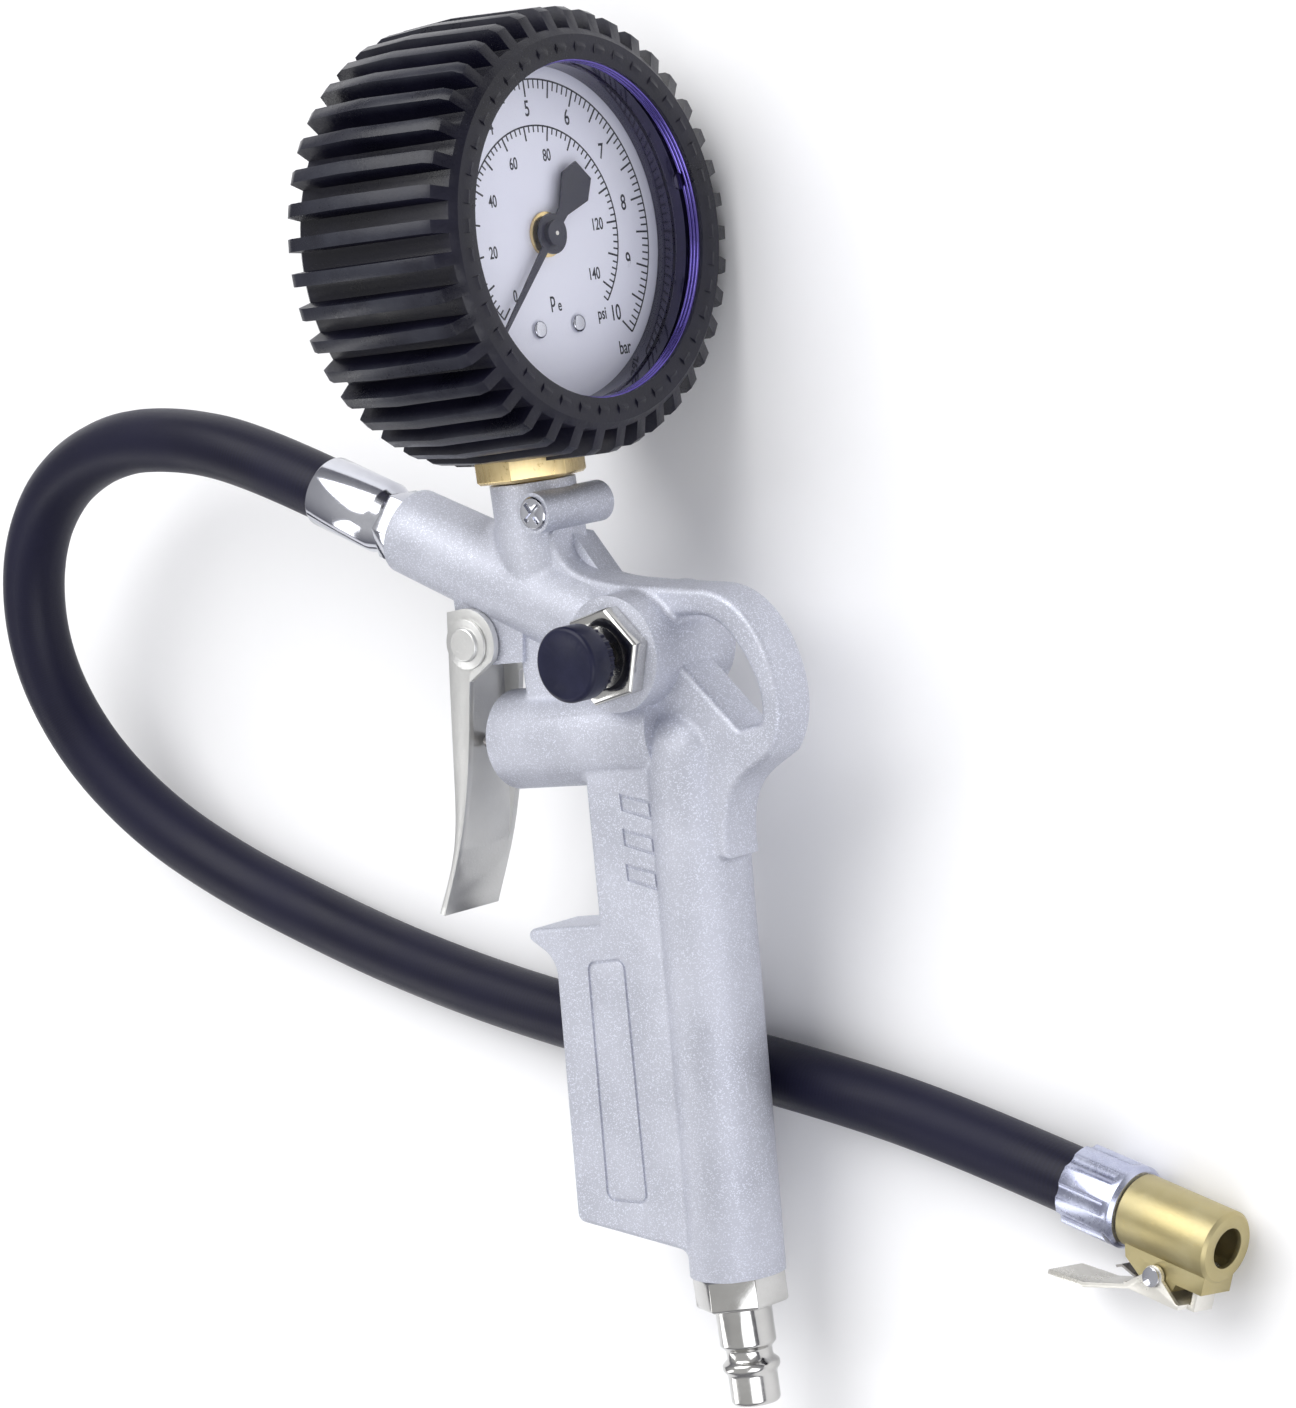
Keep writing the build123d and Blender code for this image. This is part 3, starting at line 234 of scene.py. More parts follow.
def draw_grain(board: Board, inputs: bpy.types.Node, outputs: bpy.types.Node) -> None:
    """Fine even grain with a share of bright specks.

    Args:
        board: The group's node tree.
        inputs: The group's input node.
        outputs: The group's output node.
    """
    fine = board.add("ShaderNodeTexNoise")
    fine.inputs["Detail"].default_value = 3.0
    fine.inputs["Roughness"].default_value = 0.65
    cells = board.add("ShaderNodeTexVoronoi", feature="F1")
    cells.inputs["Randomness"].default_value = 1.0
    for node in (fine, cells):
        board.join(inputs.outputs["Vector"], node.inputs["Vector"])
        board.join(inputs.outputs["Scale"], node.inputs["Scale"])
    split = board.add("ShaderNodeSeparateColor")
    board.join(cells.outputs["Color"], split.inputs["Color"])
    specks = board.math("GREATER_THAN", split.outputs["Red"], inputs.outputs["Speck level"])
    board.join(fine.outputs["Fac"], outputs.inputs["Value"])
    board.join(specks, outputs.inputs["Specks"])
    board.join(board.math("ADD", fine.outputs["Fac"], board.math("MULTIPLY", split.outputs["Green"], 0.4)),
               outputs.inputs["Height"])


def draw_patches(board: Board, inputs: bpy.types.Node, outputs: bpy.types.Node) -> None:
    """Broad soft patches, as of handling, with a sharper scuff mask.

    Args:
        board: The group's node tree.
        inputs: The group's input node.
        outputs: The group's output node.
    """
    broad = board.add("ShaderNodeTexNoise")
    broad.inputs["Detail"].default_value = 5.0
    scuff = board.add("ShaderNodeTexNoise")
    scuff.inputs["Detail"].default_value = 8.0
    scuff.inputs["Roughness"].default_value = 0.7
    for node, factor in ((broad, 1.0), (scuff, 6.0)):
        board.join(inputs.outputs["Vector"], node.inputs["Vector"])
        board.join(board.math("MULTIPLY", inputs.outputs["Scale"], factor), node.inputs["Scale"])
    board.join(board.span(broad.outputs["Fac"], 0.35, 0.65, 0.0, 1.0), outputs.inputs["Patches"])
    board.join(board.span(scuff.outputs["Fac"], 0.60, 0.72, 0.0, 1.0), outputs.inputs["Scuffs"])


def draw_lines(board: Board, inputs: bpy.types.Node, outputs: bpy.types.Node) -> None:
    """Fine lines drawn out along one axis, as of turning, rolling or brushing.

    Args:
        board: The group's node tree.
        inputs: The group's input node.
        outputs: The group's output node.
    """
    stretch = board.add("ShaderNodeVectorMath", operation="MULTIPLY")
    board.join(inputs.outputs["Vector"], stretch.inputs[0])
    board.join(inputs.outputs["Stretch"], stretch.inputs[1])
    lines = board.add("ShaderNodeTexNoise")
    lines.inputs["Detail"].default_value = 4.0
    board.join(stretch.outputs[0], lines.inputs["Vector"])
    board.join(inputs.outputs["Scale"], lines.inputs["Scale"])
    board.join(lines.outputs["Fac"], outputs.inputs["Value"])


def draw_rings(board: Board, inputs: bpy.types.Node, outputs: bpy.types.Node) -> None:
    """Distance from an axis along X, for what goes round the gauge.

    Args:
        board: The group's node tree.
        inputs: The group's input node.
        outputs: The group's output node.
    """
    split = board.add("ShaderNodeSeparateXYZ")
    board.join(inputs.outputs["Vector"], split.inputs["Vector"])
    squares = board.math("ADD", board.math("MULTIPLY", split.outputs["Y"], split.outputs["Y"]),
                         board.math("MULTIPLY", split.outputs["Z"], split.outputs["Z"]))
    board.join(board.math("SQRT", squares), outputs.inputs["Radius"])
    board.join(split.outputs["X"], outputs.inputs["Along"])


GRAIN = Effect("grain", (("Vector", "NodeSocketVector", None), ("Scale", "NodeSocketFloat", 2000.0),
                         ("Speck level", "NodeSocketFloat", 0.9)),
               (("Value", "NodeSocketFloat"), ("Specks", "NodeSocketFloat"), ("Height", "NodeSocketFloat")),
               draw_grain)
PATCHES = Effect("patches", (("Vector", "NodeSocketVector", None), ("Scale", "NodeSocketFloat", 40.0)),
                 (("Patches", "NodeSocketFloat"), ("Scuffs", "NodeSocketFloat")), draw_patches)
LINES = Effect("lines", (("Vector", "NodeSocketVector", None), ("Stretch", "NodeSocketVector", None),
                         ("Scale", "NodeSocketFloat", 1000.0)), (("Value", "NodeSocketFloat"),), draw_lines)
RINGS = Effect("rings", (("Vector", "NodeSocketVector", None),),
               (("Radius", "NodeSocketFloat"), ("Along", "NodeSocketFloat")), draw_rings)


@dataclass(frozen=True)
class Finish:
    """A finish of the inflator: two tones mixed by patches, a grain and its gloss."""

    name: str
    tone: tuple[float, float, float]
    second_tone: tuple[float, float, float]
    roughness: tuple[float, float]
    metallic: float = 0.0
    grain_scale: float = 2000.0
    grain_depth: float = 0.00002
    speck_level: float = 2.0
    speck_tone: tuple[float, float, float] = (1.0, 1.0, 1.0)
    patch_scale: float = 40.0
    scuff_tone: Optional[tuple[float, float, float]] = None
    stretch: Optional[tuple[float, float, float]] = None
    coat: float = 0.0
    coat_roughness: float = 0.1
    gloss: float = 0.5

    def material(self) -> bpy.types.Material:
        """Find the material, or make it.

        Returns:
            The finish as a material.
        """
        full_name = f"{self.name}_finish"
        found = bpy.data.materials.get(full_name)
        if found:
            return found
        material = bpy.data.materials.new(full_name)
        material.use_nodes = True
        board = Board(material.node_tree)
        shader = material.node_tree.nodes["Principled BSDF"]
        where = self.place(board)
        grain_values = {"Scale": self.grain_scale, "Speck level": self.speck_level}
        grain = self.effect(board, GRAIN, where, grain_values)
        patches = self.effect(board, PATCHES, where, {"Scale": self.patch_scale})
        value = grain.outputs["Value"]
        height = grain.outputs["Height"]
        if self.stretch:
            line_values = {"Scale": self.grain_scale, "Stretch": self.stretch}
            value = self.effect(board, LINES, where, line_values).outputs["Value"]
            height = value
        colour = self.toned(board, value, grain, patches)
        board.join(self.marked(board, where, colour), shader.inputs["Base Color"])
        patch_part = board.math("MULTIPLY", patches.outputs["Patches"], PATCH_SHARE)
        rough = board.math("ADD", board.math("MULTIPLY", value, 1.0 - PATCH_SHARE), patch_part)
        board.join(board.span(rough, *ROUGHNESS_SPAN, *self.roughness), shader.inputs["Roughness"])
        bump = board.add("ShaderNodeBump")
        bump.inputs["Distance"].default_value = self.grain_depth
        board.join(height, bump.inputs["Height"])
        board.join(bump.outputs["Normal"], shader.inputs["Normal"])
        shader.inputs["Metallic"].default_value = self.metallic
        shader.inputs["Coat Weight"].default_value = self.coat
        shader.inputs["Coat Roughness"].default_value = self.coat_roughness
        shader.inputs["Specular IOR Level"].default_value = self.gloss
        self.finish_off(board, shader)
        return material

    def toned(self, board: Board, value: bpy.types.NodeSocket, grain: bpy.types.Node,
              patches: bpy.types.Node) -> bpy.types.NodeSocket:
        """Mix the tones of the finish, with its specks and scuffs.

        Args:
            board: The material's node tree.
            value: Fine grain or lines.
            grain: The placed grain effect.
            patches: The placed patches effect.

        Returns:
            The mixed colour.
        """
        fine = board.span(value, 0.3, 0.7, 0.6, 1.0)
        mask = board.math("MULTIPLY", patches.outputs["Patches"], fine)
        colour = board.blend(mask, rgba(self.tone), rgba(self.second_tone))
        if self.speck_level < 1.0:
            colour = board.blend(grain.outputs["Specks"], colour, rgba(self.speck_tone))
        if self.scuff_tone:
            colour = board.blend(patches.outputs["Scuffs"], colour, rgba(self.scuff_tone))
        return colour

    def finish_off(self, board: Board, shader: bpy.types.Node) -> None:
        """Leave the shader as it is; a finish that needs more of it sets that here."""

    def marked(self, board: Board, where: bpy.types.NodeSocket,
               colour: bpy.types.NodeSocket) -> bpy.types.NodeSocket:
        """Leave the colour as it is; a finish with a pattern of its own draws it here."""
        return colour

    def place(self, board: Board) -> bpy.types.NodeSocket:
        """Coordinates of the pattern, centred on the gauge.

        Args:
            board: The material's node tree.

        Returns:
            The centred coordinates.
        """
        coords = board.add("ShaderNodeTexCoord")
        mapping = board.add("ShaderNodeMapping", vector_type="TEXTURE")
        mapping.inputs["Location"].default_value = GUN.centre
        board.join(coords.outputs[Coords.OBJECT.value], mapping.inputs["Vector"])
        return mapping.outputs["Vector"]

    def effect(self, board: Board, effect: Effect, where: bpy.types.NodeSocket,
               values: dict[str, object]) -> bpy.types.Node:
        """Place a shared effect with this finish's own values.

        Args:
            board: The material's node tree.
            effect: The effect to place.
            where: Coordinates of its pattern.
            values: Values of its other inputs.

        Returns:
            The placed group node.
        """
        node = board.add("ShaderNodeGroup")
        node.node_tree = effect.group()
        board.join(where, node.inputs["Vector"])
        for name, value in values.items():
            node.inputs[name].default_value = value
        return node


@dataclass(frozen=True)
class CapRubber(Finish):
    """Rubber of the gauge protector, with a painted highlight that lightens the tips of its fins, uneven in
    patches.
    """

    # painted highlight: lighter tone on the fin tips, standing in for the light their edges catch
    tip_tone: tuple[float, float, float] = (0.026, 0.028, 0.040)
    tip_start: float = 44.2
    tip_end: float = 46.6

    def marked(self, board: Board, where: bpy.types.NodeSocket,
               colour: bpy.types.NodeSocket) -> bpy.types.NodeSocket:
        """Paint a highlight on the rubber towards the fin tips, in patches.

        Args:
            board: The material's node tree.
            where: Coordinates of the pattern.
            colour: Colour so far.

        Returns:
            The marked colour.
        """
        rings = self.effect(board, RINGS, where, {})
        patches = self.effect(board, PATCHES, where, {"Scale": 120.0})
        # painted highlight, strongest at the fin tips and broken up in patches
        tips = board.span(rings.outputs["Radius"], self.tip_start * MM, self.tip_end * MM, 0.0, 1.0)
        tip_highlight_mask = board.math("MULTIPLY", tips, board.span(patches.outputs["Patches"], 0.0, 1.0, 0.35, 1.0))
        return board.blend(tip_highlight_mask, colour, rgba(self.tip_tone))


@dataclass(frozen=True)
class DialPaint(Finish):
    """White dial paint, with painted shade that greys it a little towards its rim."""

    # painted shade: greyer tone at the dial's edge, under the bezel's inner wall
    rim_tone: tuple[float, float, float] = (0.55, 0.56, 0.70)
    shade_start: float = 32.5
    shade_end: float = 36.0
    shade: float = 0.8

    def marked(self, board: Board, where: bpy.types.NodeSocket,
               colour: bpy.types.NodeSocket) -> bpy.types.NodeSocket:
        """Paint shade on the dial towards its rim.

        Args:
            board: The material's node tree.
            where: Coordinates of the pattern.
            colour: Colour so far.

        Returns:
            The marked colour.
        """
        rings = self.effect(board, RINGS, where, {})
        start, end = self.shade_start * MM, self.shade_end * MM
        # painted shade growing from shade_start out to the rim
        mask = board.span(rings.outputs["Radius"], start, end, 0.0, self.shade)
        return board.blend(mask, colour, rgba(self.rim_tone))


@dataclass(frozen=True)
class HoseRubber(Finish):
    """Extruded rubber with the faint cross bands that its curing wrap leaves."""

    bands: float = 190.0
    band_strength: float = 0.5

    def marked(self, board: Board, where: bpy.types.NodeSocket,
               colour: bpy.types.NodeSocket) -> bpy.types.NodeSocket:
        """Draw the cross bands along the hose.

        Args:
            board: The material's node tree.
            where: Coordinates of the pattern.
            colour: Colour so far.

        Returns:
            The marked colour.
        """
        waves = board.add("ShaderNodeTexWave", wave_type="BANDS", bands_direction="X")
        waves.inputs["Scale"].default_value = self.bands
        waves.inputs["Distortion"].default_value = 1.5
        coords = board.add("ShaderNodeTexCoord")
        board.join(coords.outputs[Coords.UV.value], waves.inputs["Vector"])
        mask = board.span(waves.outputs["Fac"], 0.2, 0.9, 0.0, self.band_strength)
        return board.blend(mask, colour, rgba(self.second_tone))


@dataclass(frozen=True)
class Glass(Finish):
    """Clear window: its surface shows only by what it reflects."""

    straight: float = 0.015
    grazing: float = 0.40

    def finish_off(self, board: Board, shader: bpy.types.Node) -> None:
        """Let the surface be as opaque as it reflects."""
        weight = board.add("ShaderNodeLayerWeight")
        board.join(board.span(weight.outputs["Facing"], 0.55, 1.0, self.straight, self.grazing),
                   shader.inputs["Alpha"])


CAST_BODY = Finish("cast_body", (0.49, 0.505, 0.575), (0.61, 0.625, 0.70), (0.36, 0.56), metallic=0.55,
                   grain_scale=5200.0, grain_depth=0.00007, speck_level=0.84, speck_tone=(0.74, 0.76, 0.85),
                   patch_scale=55.0)
NICKEL = Finish("nickel", (0.52, 0.515, 0.50), (0.62, 0.615, 0.60), (0.10, 0.22), metallic=1.0,
                grain_scale=900.0, grain_depth=0.000008, patch_scale=90.0, scuff_tone=(0.55, 0.54, 0.52))
PRESSED_NICKEL = Finish("pressed_nickel", (0.68, 0.68, 0.67), (0.78, 0.78, 0.765), (0.28, 0.42), metallic=0.8,
                        grain_scale=1800.0, grain_depth=0.00003, patch_scale=50.0)
CREAM_NICKEL = Finish("cream_nickel", (0.74, 0.72, 0.66), (0.84, 0.82, 0.77), (0.24, 0.38), metallic=0.7,
                      grain_scale=1500.0, grain_depth=0.00002, patch_scale=70.0)
CHROME = Finish("chrome", (0.52, 0.53, 0.59), (0.64, 0.65, 0.70), (0.06, 0.14), metallic=1.0,
                grain_scale=600.0, grain_depth=0.000005, patch_scale=60.0)
STEM_BRASS = Finish("stem_brass", (0.72, 0.54, 0.24), (0.84, 0.68, 0.38), (0.18, 0.36), metallic=1.0,
                    grain_scale=1500.0, grain_depth=0.00001, patch_scale=80.0, scuff_tone=(0.42, 0.29, 0.10),
                    stretch=(1.0, 0.12, 1.0))
CHUCK_BRASS = Finish("chuck_brass", (0.46, 0.39, 0.20), (0.56, 0.50, 0.30), (0.40, 0.56), metallic=1.0,
                     grain_scale=1800.0, grain_depth=0.000016, patch_scale=90.0,
                     scuff_tone=(0.55, 0.45, 0.22))
CAP_RUBBER = CapRubber("cap_rubber", (0.0035, 0.0034, 0.009), (0.009, 0.0085, 0.022), (0.24, 0.42),
                       grain_scale=1500.0, grain_depth=0.00003, patch_scale=60.0, gloss=0.35)
HOSE_RUBBER = HoseRubber("hose_rubber", (0.004, 0.0038, 0.014), (0.008, 0.0078, 0.027), (0.36, 0.52),
                         grain_scale=2400.0, grain_depth=0.00002, patch_scale=30.0, gloss=0.24)
SEAL_RUBBER = Finish("seal_rubber", (0.015, 0.015, 0.017), (0.03, 0.03, 0.034), (0.5, 0.7),
                     grain_scale=1800.0)
KNOB_PLASTIC = Finish("knob_plastic", (0.008, 0.009, 0.026), (0.014, 0.015, 0.042), (0.28, 0.42),
                      grain_scale=1600.0, grain_depth=0.00001, patch_scale=120.0, gloss=0.25)
BLACK_PAINT = Finish("black_paint", (0.012, 0.010, 0.034), (0.028, 0.022, 0.075), (0.12, 0.22), metallic=0.6,
                     grain_scale=700.0, grain_depth=0.000006, patch_scale=30.0, coat=0.6, coat_roughness=0.06)
# painted sheen: violet metal lighter than the bezel's black paint, standing in for the purple highlights on its
# grooves
VIOLET_PAINTED_SHEEN = Finish("violet_painted_sheen", (0.10, 0.075, 0.30), (0.20, 0.16, 0.52), (0.12, 0.22), metallic=1.0,
                        grain_scale=500.0, grain_depth=0.000002, patch_scale=25.0)
ZINC = Finish("zinc", (0.42, 0.44, 0.58), (0.60, 0.63, 0.76), (0.20, 0.34), metallic=1.0, grain_scale=1600.0,
              grain_depth=0.000012, patch_scale=150.0, scuff_tone=(0.30, 0.30, 0.46))
DIAL_PAINT = DialPaint("dial_paint", (0.80, 0.81, 0.93), (0.84, 0.85, 0.95), (0.42, 0.55), grain_scale=900.0,
                       grain_depth=0.000004, patch_scale=25.0)
PRINT_INK = Finish("print_ink", (0.010, 0.010, 0.022), (0.02, 0.02, 0.034), (0.45, 0.6), grain_scale=3000.0,
                   grain_depth=0.000002)
POINTER_PAINT = Finish("pointer_paint", (0.012, 0.012, 0.030), (0.022, 0.022, 0.048), (0.34, 0.48),
                       grain_scale=1500.0, grain_depth=0.000006)
LENS = Glass("lens", (0.90, 0.92, 1.0), (0.95, 0.96, 1.0), (0.01, 0.05), metallic=1.0, grain_scale=60.0,
             grain_depth=0.000001, patch_scale=20.0)
SPRING_STEEL = Finish("spring_steel", (0.36, 0.34, 0.33), (0.48, 0.46, 0.45), (0.22, 0.36), metallic=1.0,
                      grain_scale=1500.0, grain_depth=0.00001)
BRONZE = Finish("phosphor_bronze", (0.55, 0.33, 0.16), (0.66, 0.43, 0.22), (0.2, 0.34), metallic=1.0,
                grain_scale=1500.0, grain_depth=0.00001)
STUDIO_PAPER = Finish("studio_paper", (0.93, 0.93, 0.94), (0.95, 0.95, 0.96), (0.8, 0.9), grain_scale=200.0,
                      patch_scale=3.0)
SLOT_FINISH = {
    "cast_body": CAST_BODY,
    "nickel": NICKEL,
    "brass": STEM_BRASS,
    "hose_rubber": HOSE_RUBBER,
    "cap_rubber": CAP_RUBBER,
    "seal_rubber": SEAL_RUBBER,
    "knob_plastic": KNOB_PLASTIC,
    "black_paint": BLACK_PAINT,
    "dial_paint": DIAL_PAINT,
    "pointer_paint": POINTER_PAINT,
    "lens": LENS,
    "spring_steel": SPRING_STEEL,
    "phosphor_bronze": BRONZE,
}


# ---------------------------------------------------------------- modelling helpers
def clear_selection() -> None:
    """Leave edit mode and deselect everything."""
    if bpy.context.object and bpy.context.object.mode != "OBJECT":
        bpy.ops.object.mode_set(mode="OBJECT")
    bpy.ops.object.select_all(action="DESELECT")


def choose(pieces: Sequence[bpy.types.Object]) -> None:
    """Select these pieces alone, the first of them active."""
    clear_selection()
    for piece in pieces:
        piece.select_set(True)
    bpy.context.view_layer.objects.active = pieces[0]


def apply_modifier(piece: bpy.types.Object, kind: str, **settings: object) -> None:
    """Add a modifier with its settings and apply it.

    Args:
        piece: Piece that takes it.
        kind: Blender's name of the modifier type.
        settings: Properties of the modifier and their values.
    """
    choose([piece])
    modifier = piece.modifiers.new(kind.lower(), kind)
    for name, value in settings.items():
        setattr(modifier, name, value)
    bpy.ops.object.modifier_apply(modifier=modifier.name)


def joined(pieces: Sequence[bpy.types.Object], name: str) -> bpy.types.Object:
    """Join pieces into one mesh under a new name.

    Args:
        pieces: The meshes to join.
        name: Name of the result.

    Returns:
        The joined piece.
    """
    choose(pieces)
    if len(pieces) > 1:
        bpy.ops.object.join()
    piece = bpy.context.object
    piece.name = name
    piece.data.name = name
    return piece


def bake_place(piece: bpy.types.Object, place: Optional[Matrix] = None) -> None:
    """Move a piece's place into its mesh, so that its object stands at the origin."""
    bpy.context.view_layer.update()
    piece.data.transform((place or Matrix.Identity(4)) @ piece.matrix_world)
    piece.matrix_world = Matrix.Identity(4)


def dress(piece: bpy.types.Object, finish: Finish) -> None:
    """Give every slot of a piece one finish."""
    if not piece.material_slots:
        piece.data.materials.append(finish.material())
    for slot in piece.material_slots:
        slot.material = finish.material()


def stand_for(piece: bpy.types.Object, node: str) -> bpy.types.Object:
    """Let a piece ride and be seen in place of a CAD node.

    Args:
        piece: The piece.
        node: Name of the CAD node.

    Returns:
        The same piece.
    """
    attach(piece, BODY_OF[node])
    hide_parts(node)
    return piece


@dataclass(frozen=True)
class BrokenEdges:
    """How the sharp edges of a rigid part are broken."""

    width: float
    segments: int = 2
    sharper_than: float = 32.0
    flat_within: float = 0.3

    def of(self, node: str, name: str) -> bpy.types.Object:
        """Copy a CAD node, merge its triangles and break its edges.

        Args:
            node: Name of the CAD node.
            name: Name of the new piece.

        Returns:
            The new piece, not yet riding on a body.
        """
        mesh = frame["nodes"][node].data.copy()
        piece = bpy.data.objects.new(name, mesh)
        bpy.context.scene.collection.objects.link(piece)
        choose([piece])
        if mesh.has_custom_normals:
            bpy.ops.mesh.customdata_custom_splitnormals_clear()
        bpy.ops.object.mode_set(mode="EDIT")
        bpy.ops.mesh.select_all(action="SELECT")
        bpy.ops.mesh.remove_doubles(threshold=0.002 * MM)
        bpy.ops.mesh.dissolve_limited(angle_limit=radians(self.flat_within))
        bpy.ops.object.mode_set(mode="OBJECT")
        sharp = radians(self.sharper_than)
        apply_modifier(piece, "BEVEL", width=self.width * MM, segments=self.segments, limit_method="ANGLE",
                       angle_limit=sharp, miter_outer="MITER_ARC", use_clamp_overlap=True)
        apply_modifier(piece, "TRIANGULATE")
        choose([piece])
        bpy.ops.object.shade_smooth_by_angle(angle=sharp)
        return piece


SCREW_EDGES = BrokenEdges(0.12)
RIVET_EDGES = BrokenEdges(0.15)
PRESSED_EDGES = BrokenEdges(0.2)
TURNED_EDGES = BrokenEdges(0.3)
DOMED_EDGES = BrokenEdges(0.3, segments=3)


# ---------------------------------------------------------------- sub-assemblies
@dataclass
class RigidPart:
    """A CAD node shown through a copy with broken edges."""

    node: str
    finish: Finish
    edges: BrokenEdges

    def build(self) -> bpy.types.Object:
        """Make the copy, dress it and let it stand for its node.

        Returns:
            The finished piece.
        """
        piece = self.edges.of(self.node, f"{self.node}_finished")
        dress(piece, self.finish)
        log.info("piece %s: %d faces", piece.name, len(piece.data.polygons))
        return stand_for(piece, self.node)


@dataclass
class Housing:
    """Die-cast housing with the fittings that are screwed or riveted to it."""

    cast_edge: float = 0.35
    machined_edge: float = 0.25

    def build(self) -> list[bpy.types.Object]:
        """Build every part of the housing.

        Returns:
            The finished pieces.
        """
        machined = BrokenEdges(self.machined_edge)
        parts = [
            RigidPart("gun_body", CAST_BODY, BrokenEdges(self.cast_edge, segments=2)),
            RigidPart("inlet_plug", NICKEL, machined),
            RigidPart("hose_nipple", CHROME, machined),
            RigidPart("hose_ferrule", CHROME, TURNED_EDGES),
            RigidPart("swivel_lock_screw", CHROME, SCREW_EDGES),
            RigidPart("trigger_pin", PRESSED_NICKEL, RIVET_EDGES),
            RigidPart("valve_gland", PRESSED_NICKEL, RIVET_EDGES),
            RigidPart("vent_nut", NICKEL, PRESSED_EDGES),
        ]
        return [part.build() for part in parts]


@dataclass
class Controls:
    """Trigger and deflation button."""

    sheet_edge: float = 0.3

    def build(self) -> list[bpy.types.Object]:
        """Build the two controls.

        Returns:
            The finished pieces.
        """
        parts = [
            RigidPart("trigger", PRESSED_NICKEL, BrokenEdges(self.sheet_edge)),
            RigidPart("vent_button", KNOB_PLASTIC, SCREW_EDGES),
        ]
        return [part.build() for part in parts]


@dataclass(frozen=True)
class Scale:
    """One scale of the dial: its arc, ticks and numerals.

    Lengths are in millimetres, values in the scale's own unit.
    """

    name: str
    radius: float
    full: float
    small_step: float
    long_every: int
    small_tick: float
    long_tick: float
    numerals: tuple[int, ...]
    numeral_radius: float
    numeral_size: float
    sweep_end: float

    def angle(self, value: float) -> float:
        """Angle of a value, in radians from the drawing's right, from lower left over the top."""
        return radians(225.0 - 270.0 * value / self.full)


@dataclass
class Dial:
    """Print on the dial: two scales, their numerals and units."""

    face: float = 13.2
    lift: float = 0.03
    line: float = 0.34
    numeral_width: float = 0.70
    stroke: float = 0.05
    arc_steps: int = 96
    labels: tuple[tuple[str, float, float, float], ...] = (
        ("bar", 19.6, -25.6, 3.9), ("psi", 14.0, -17.9, 3.6), ("p", -0.6, -13.4, 4.6), ("e", 1.4, -14.8, 3.4))
    bar: Scale = field(default_factory=lambda: Scale(
        "bar", 31.9, 10.0, 0.1, 5, 1.9, 3.6, tuple(range(11)), 25.8, 4.6, 10.0))
    psi: Scale = field(default_factory=lambda: Scale(
        "psi", 22.4, 145.0, 2.0, 5, 1.4, 3.0, tuple(range(0, 160, 20)), 16.4, 3.5, 144.0))

    def tick(self, length: float, width: float) -> bpy.types.Object:
        """Model one tick that ends at the drawing's centre, ready to be copied.

        Args:
            length: Length of the tick.
            width: Width of the tick.

        Returns:
            The tick.
        """
        clear_selection()
        bpy.ops.mesh.primitive_cube_add(size=1.0)
        tick = bpy.context.object
        tick.scale = (length * MM, width * MM, self.lift * MM)
        tick.location = (-length * MM / 2, 0.0, 0.0)
        bake_place(tick)
        return tick

    def ticks(self, scale: Scale) -> list[bpy.types.Object]:
        """Copy a short and a long tick round a scale.

        Args:
            scale: The scale.

        Returns:
            One mesh for each tick.
        """
        short, long = self.tick(scale.small_tick, self.line), self.tick(scale.long_tick, self.line * 1.2)
        copies = []
        for number in range(round(scale.sweep_end / scale.small_step) + 1):
            angle = scale.angle(number * scale.small_step)
            source = short if number % scale.long_every else long
            copy = bpy.data.objects.new("tick", source.data.copy())
            bpy.context.scene.collection.objects.link(copy)
            out = Matrix.Translation((scale.radius * MM * cos(angle), scale.radius * MM * sin(angle), 0))
            copy.data.transform(out @ Matrix.Rotation(angle, 4, "Z"))
            copies.append(copy)
        for source in (short, long):
            bpy.data.objects.remove(source)
        return copies

    def arc(self, scale: Scale) -> bpy.types.Object:
        """Spin a small section into the arc that carries a scale's ticks.

        Args:
            scale: The scale.

        Returns:
            The arc.
        """
        clear_selection()
        start = scale.angle(0)
        sweep = start - scale.angle(scale.sweep_end)
        bpy.ops.mesh.primitive_plane_add(size=1.0)
        arc = bpy.context.object
        arc.scale = (self.line * MM, self.lift * MM, 1.0)
        arc.rotation_euler = (pi / 2, 0.0, 0.0)
        arc.location = (scale.radius * MM, 0.0, 0.0)
        bake_place(arc, Matrix.Rotation(start, 4, "Z"))
        bpy.ops.object.mode_set(mode="EDIT")
        bpy.ops.mesh.select_all(action="SELECT")
        bpy.ops.mesh.spin(steps=self.arc_steps, angle=sweep, center=(0.0, 0.0, 0.0), axis=(0.0, 0.0, 1.0))
        bpy.ops.mesh.select_all(action="SELECT")
        bpy.ops.mesh.normals_make_consistent(inside=False)
        bpy.ops.object.mode_set(mode="OBJECT")
        return arc

    def words(self, text: str, x: float, y: float, size: float) -> bpy.types.Object:
        """Set a word or a number flat on the drawing.

        Args:
            text: What it says.
            x: Its middle, to the right of the dial's centre.
            y: Its middle, above the dial's centre.
            size: Height of its letters.

        Returns:
            The word as a mesh.
        """
        clear_selection()
        bpy.ops.object.text_add(location=(x * MM, y * MM, 0.0))
        piece = bpy.context.object
        piece.data.body = text
        piece.data.size = size * MM
        piece.data.align_x = "CENTER"
        piece.data.align_y = "CENTER"
        piece.data.extrude = self.lift * MM / 2
        piece.data.offset = self.stroke * MM
        piece.scale = (self.numeral_width, 1.0, 1.0)
        bpy.ops.object.convert(target="MESH")
        piece = bpy.context.object
        bake_place(piece)
        return piece

    def numerals(self, scale: Scale) -> list[bpy.types.Object]:
        """Set a scale's numerals inside its ticks.

        Args:
            scale: The scale.

        Returns:
            One mesh for each numeral.
        """
        return [
            self.words(str(value), scale.numeral_radius * cos(scale.angle(value)),
                       scale.numeral_radius * sin(scale.angle(value)), scale.numeral_size)
            for value in scale.numerals if value <= scale.full
        ]

